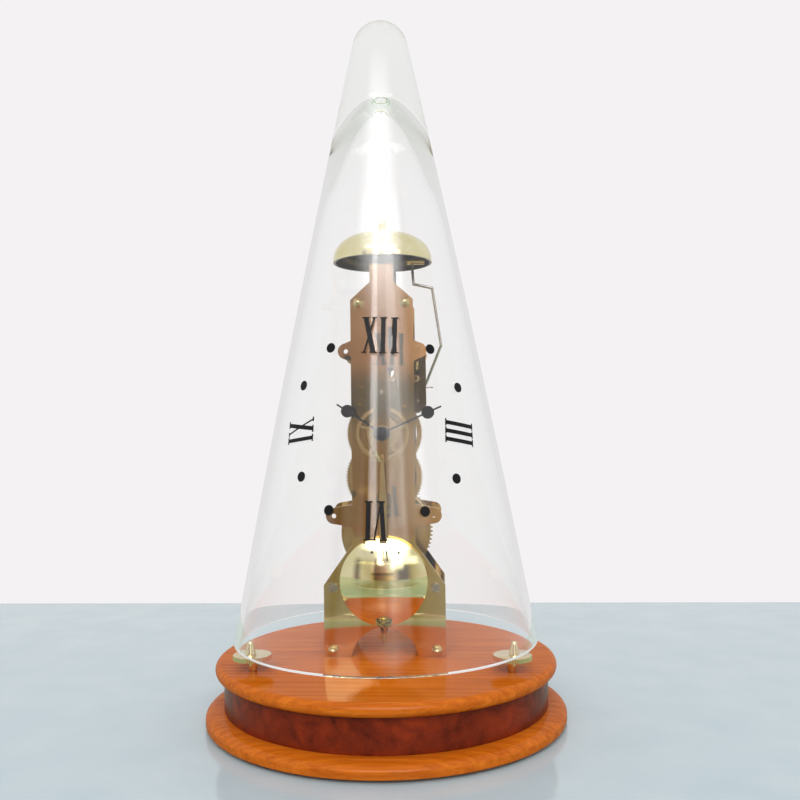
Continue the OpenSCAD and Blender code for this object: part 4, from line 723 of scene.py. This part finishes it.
bell = turned_piece("spun_bell", [(bore, bell_h)] + bell_curve(bell_r, bell_h, crown_from, 0)
                    + bell_curve(bell_r - bell_wall, bell_h - bell_wall, 0, crown_from)
                    + [(bore, bell_h - bell_wall), (bore, bell_h)])
set_in_place(bell, (0, bell_y, low.z))
stand_for(bell, "bell", yellow_brass)
# Painted shade: the inside, this far in from the outer dome, gets the dark brass for the shade
# within the bell
bell.data.materials.append(shade_dark_brass)
shaded_inside_below = 0.95
for face in bell.data.polygons:
    out_part = sqrt(face.center.x ** 2 + (face.center.y - bell_y) ** 2) / bell_r
    up_part = max(face.center.z - low.z, 0) / bell_h
    if out_part ** (2 / fullness) + up_part ** (2 / fullness) < shaded_inside_below:
        face.material_index = 1
for node in ("bell_bridge", "bell_nut"):
    finished_copy(node, brass)
finished_copy("bell_post", steel)

# Hammer: a turned brass head on a bent steel wire, which is fixed in an arbor with a tail that the
# strike cam lifts.
for node in ("hammer_arbor", "hammer_wire"):
    finished_copy(node, steel)
finished_copy("hammer_head", brass)

# Glass: a blown cone of clear glass with a solid tip, whose ground rim stands on the discs.
# It shows all that is behind it, has bright and grey lines along its sides, and is a little green
# where it is thick.
clear_glass, tree, surface, _ = new_material(
    "clear_blown_glass", {"Base Color": linear("#ffffff"), "Roughness": 0, "IOR": 1.5,
                          "Transmission Weight": 1})
ray = add_node(tree, "ShaderNodeLightPath")
lets_light_in = add_node(tree, "ShaderNodeBsdfTransparent")
# Light caught in the thick wall would run out of bounces and turn black, so it leaves after three
caught = add_node(tree, "ShaderNodeMath", {"operation": "GREATER_THAN", 1: 2.5},
                  {0: ray.outputs["Glossy Depth"]})
thick_glass = add_node(tree, "ShaderNodeMixShader", {},
                       {0: caught.outputs[0], 1: surface.outputs[0], 2: lets_light_in.outputs[0]})
glass_surface = add_node(tree, "ShaderNodeMixShader", {},
                         {0: ray.outputs["Is Shadow Ray"], 1: thick_glass.outputs[0],
                          2: lets_light_in.outputs[0]})
green_depth = add_node(tree, "ShaderNodeVolumeAbsorption",
                       {"Color": linear("#ecf4ea"), "Density": 9})
tree.links.new(glass_surface.outputs[0], tree.nodes["Material Output"].inputs["Surface"])
tree.links.new(green_depth.outputs[0], tree.nodes["Material Output"].inputs["Volume"])
low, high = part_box("glass_dome")
rim_r, tall = high.x, high.z - low.z
tip_r, wall, bow, rim_edge = 0.017, 0.0032, 0.00165, 0.0006
tip_z = tall - tip_r
lean = atan(rim_r / tip_z) - asin(tip_r / sqrt(rim_r ** 2 + tip_z ** 2))
tip_lean = atan(tan(lean) + 4 * bow / tip_z)
side_h = tip_z + tip_r * sin(tip_lean)
slope = (rim_r - tip_r * cos(tip_lean)) / side_h


def glass_r(h):
    """Outer radius of the bowed glass at a height above its rim."""
    return rim_r - h * slope + 4 * bow * h / side_h * (1 - h / side_h)


solid_h, thick_h, round_h = 0.0523, 0.06, 0.008
hollow_flat, flat_part, bend_part = 0.0048, 0.6, 0.68
hollow_top = tall - solid_h
thick_from, round_from = hollow_top - thick_h, hollow_top - round_h
hollow_foot = (glass_r(thick_from) - wall, thick_from)
hollow_bend = (bend_part * glass_r(hollow_top), round_from)
outer = [(rim_r - rim_edge, 0), (rim_r, rim_edge)]
outer += [(glass_r(side_h * i / 24), side_h * i / 24) for i in range(1, 24)]
outer += arc((0, tip_z), (tip_r, tip_r), degrees(tip_lean), 90, 24)
inner = [(0, hollow_top), (flat_part * hollow_flat, hollow_top)]
for i in range(25):
    t = i / 24
    inner.append(tuple((1 - t) ** 2 * a + 2 * t * (1 - t) * b + t * t * c
                       for a, b, c in zip((hollow_flat, hollow_top), hollow_bend, hollow_foot)))
inner += [(glass_r(thick_from * i / 18) - wall, thick_from * i / 18) for i in range(17, 0, -1)]
inner += [(rim_r - wall, rim_edge), (rim_r - wall + rim_edge, 0), (rim_r - rim_edge, 0)]
cone = turned_piece("blown_glass_cone", outer + inner)
set_in_place(cone, (0, 0, low.z))
stand_for(cone, "glass_dome", clear_glass)

# Dial print: four Roman numerals and eight dots of black enamel, printed on the outside of the
# glass and fired.
print_node = frame["nodes"]["dial_print"]
print_node.data.materials.clear()
print_node.data.materials.append(black)
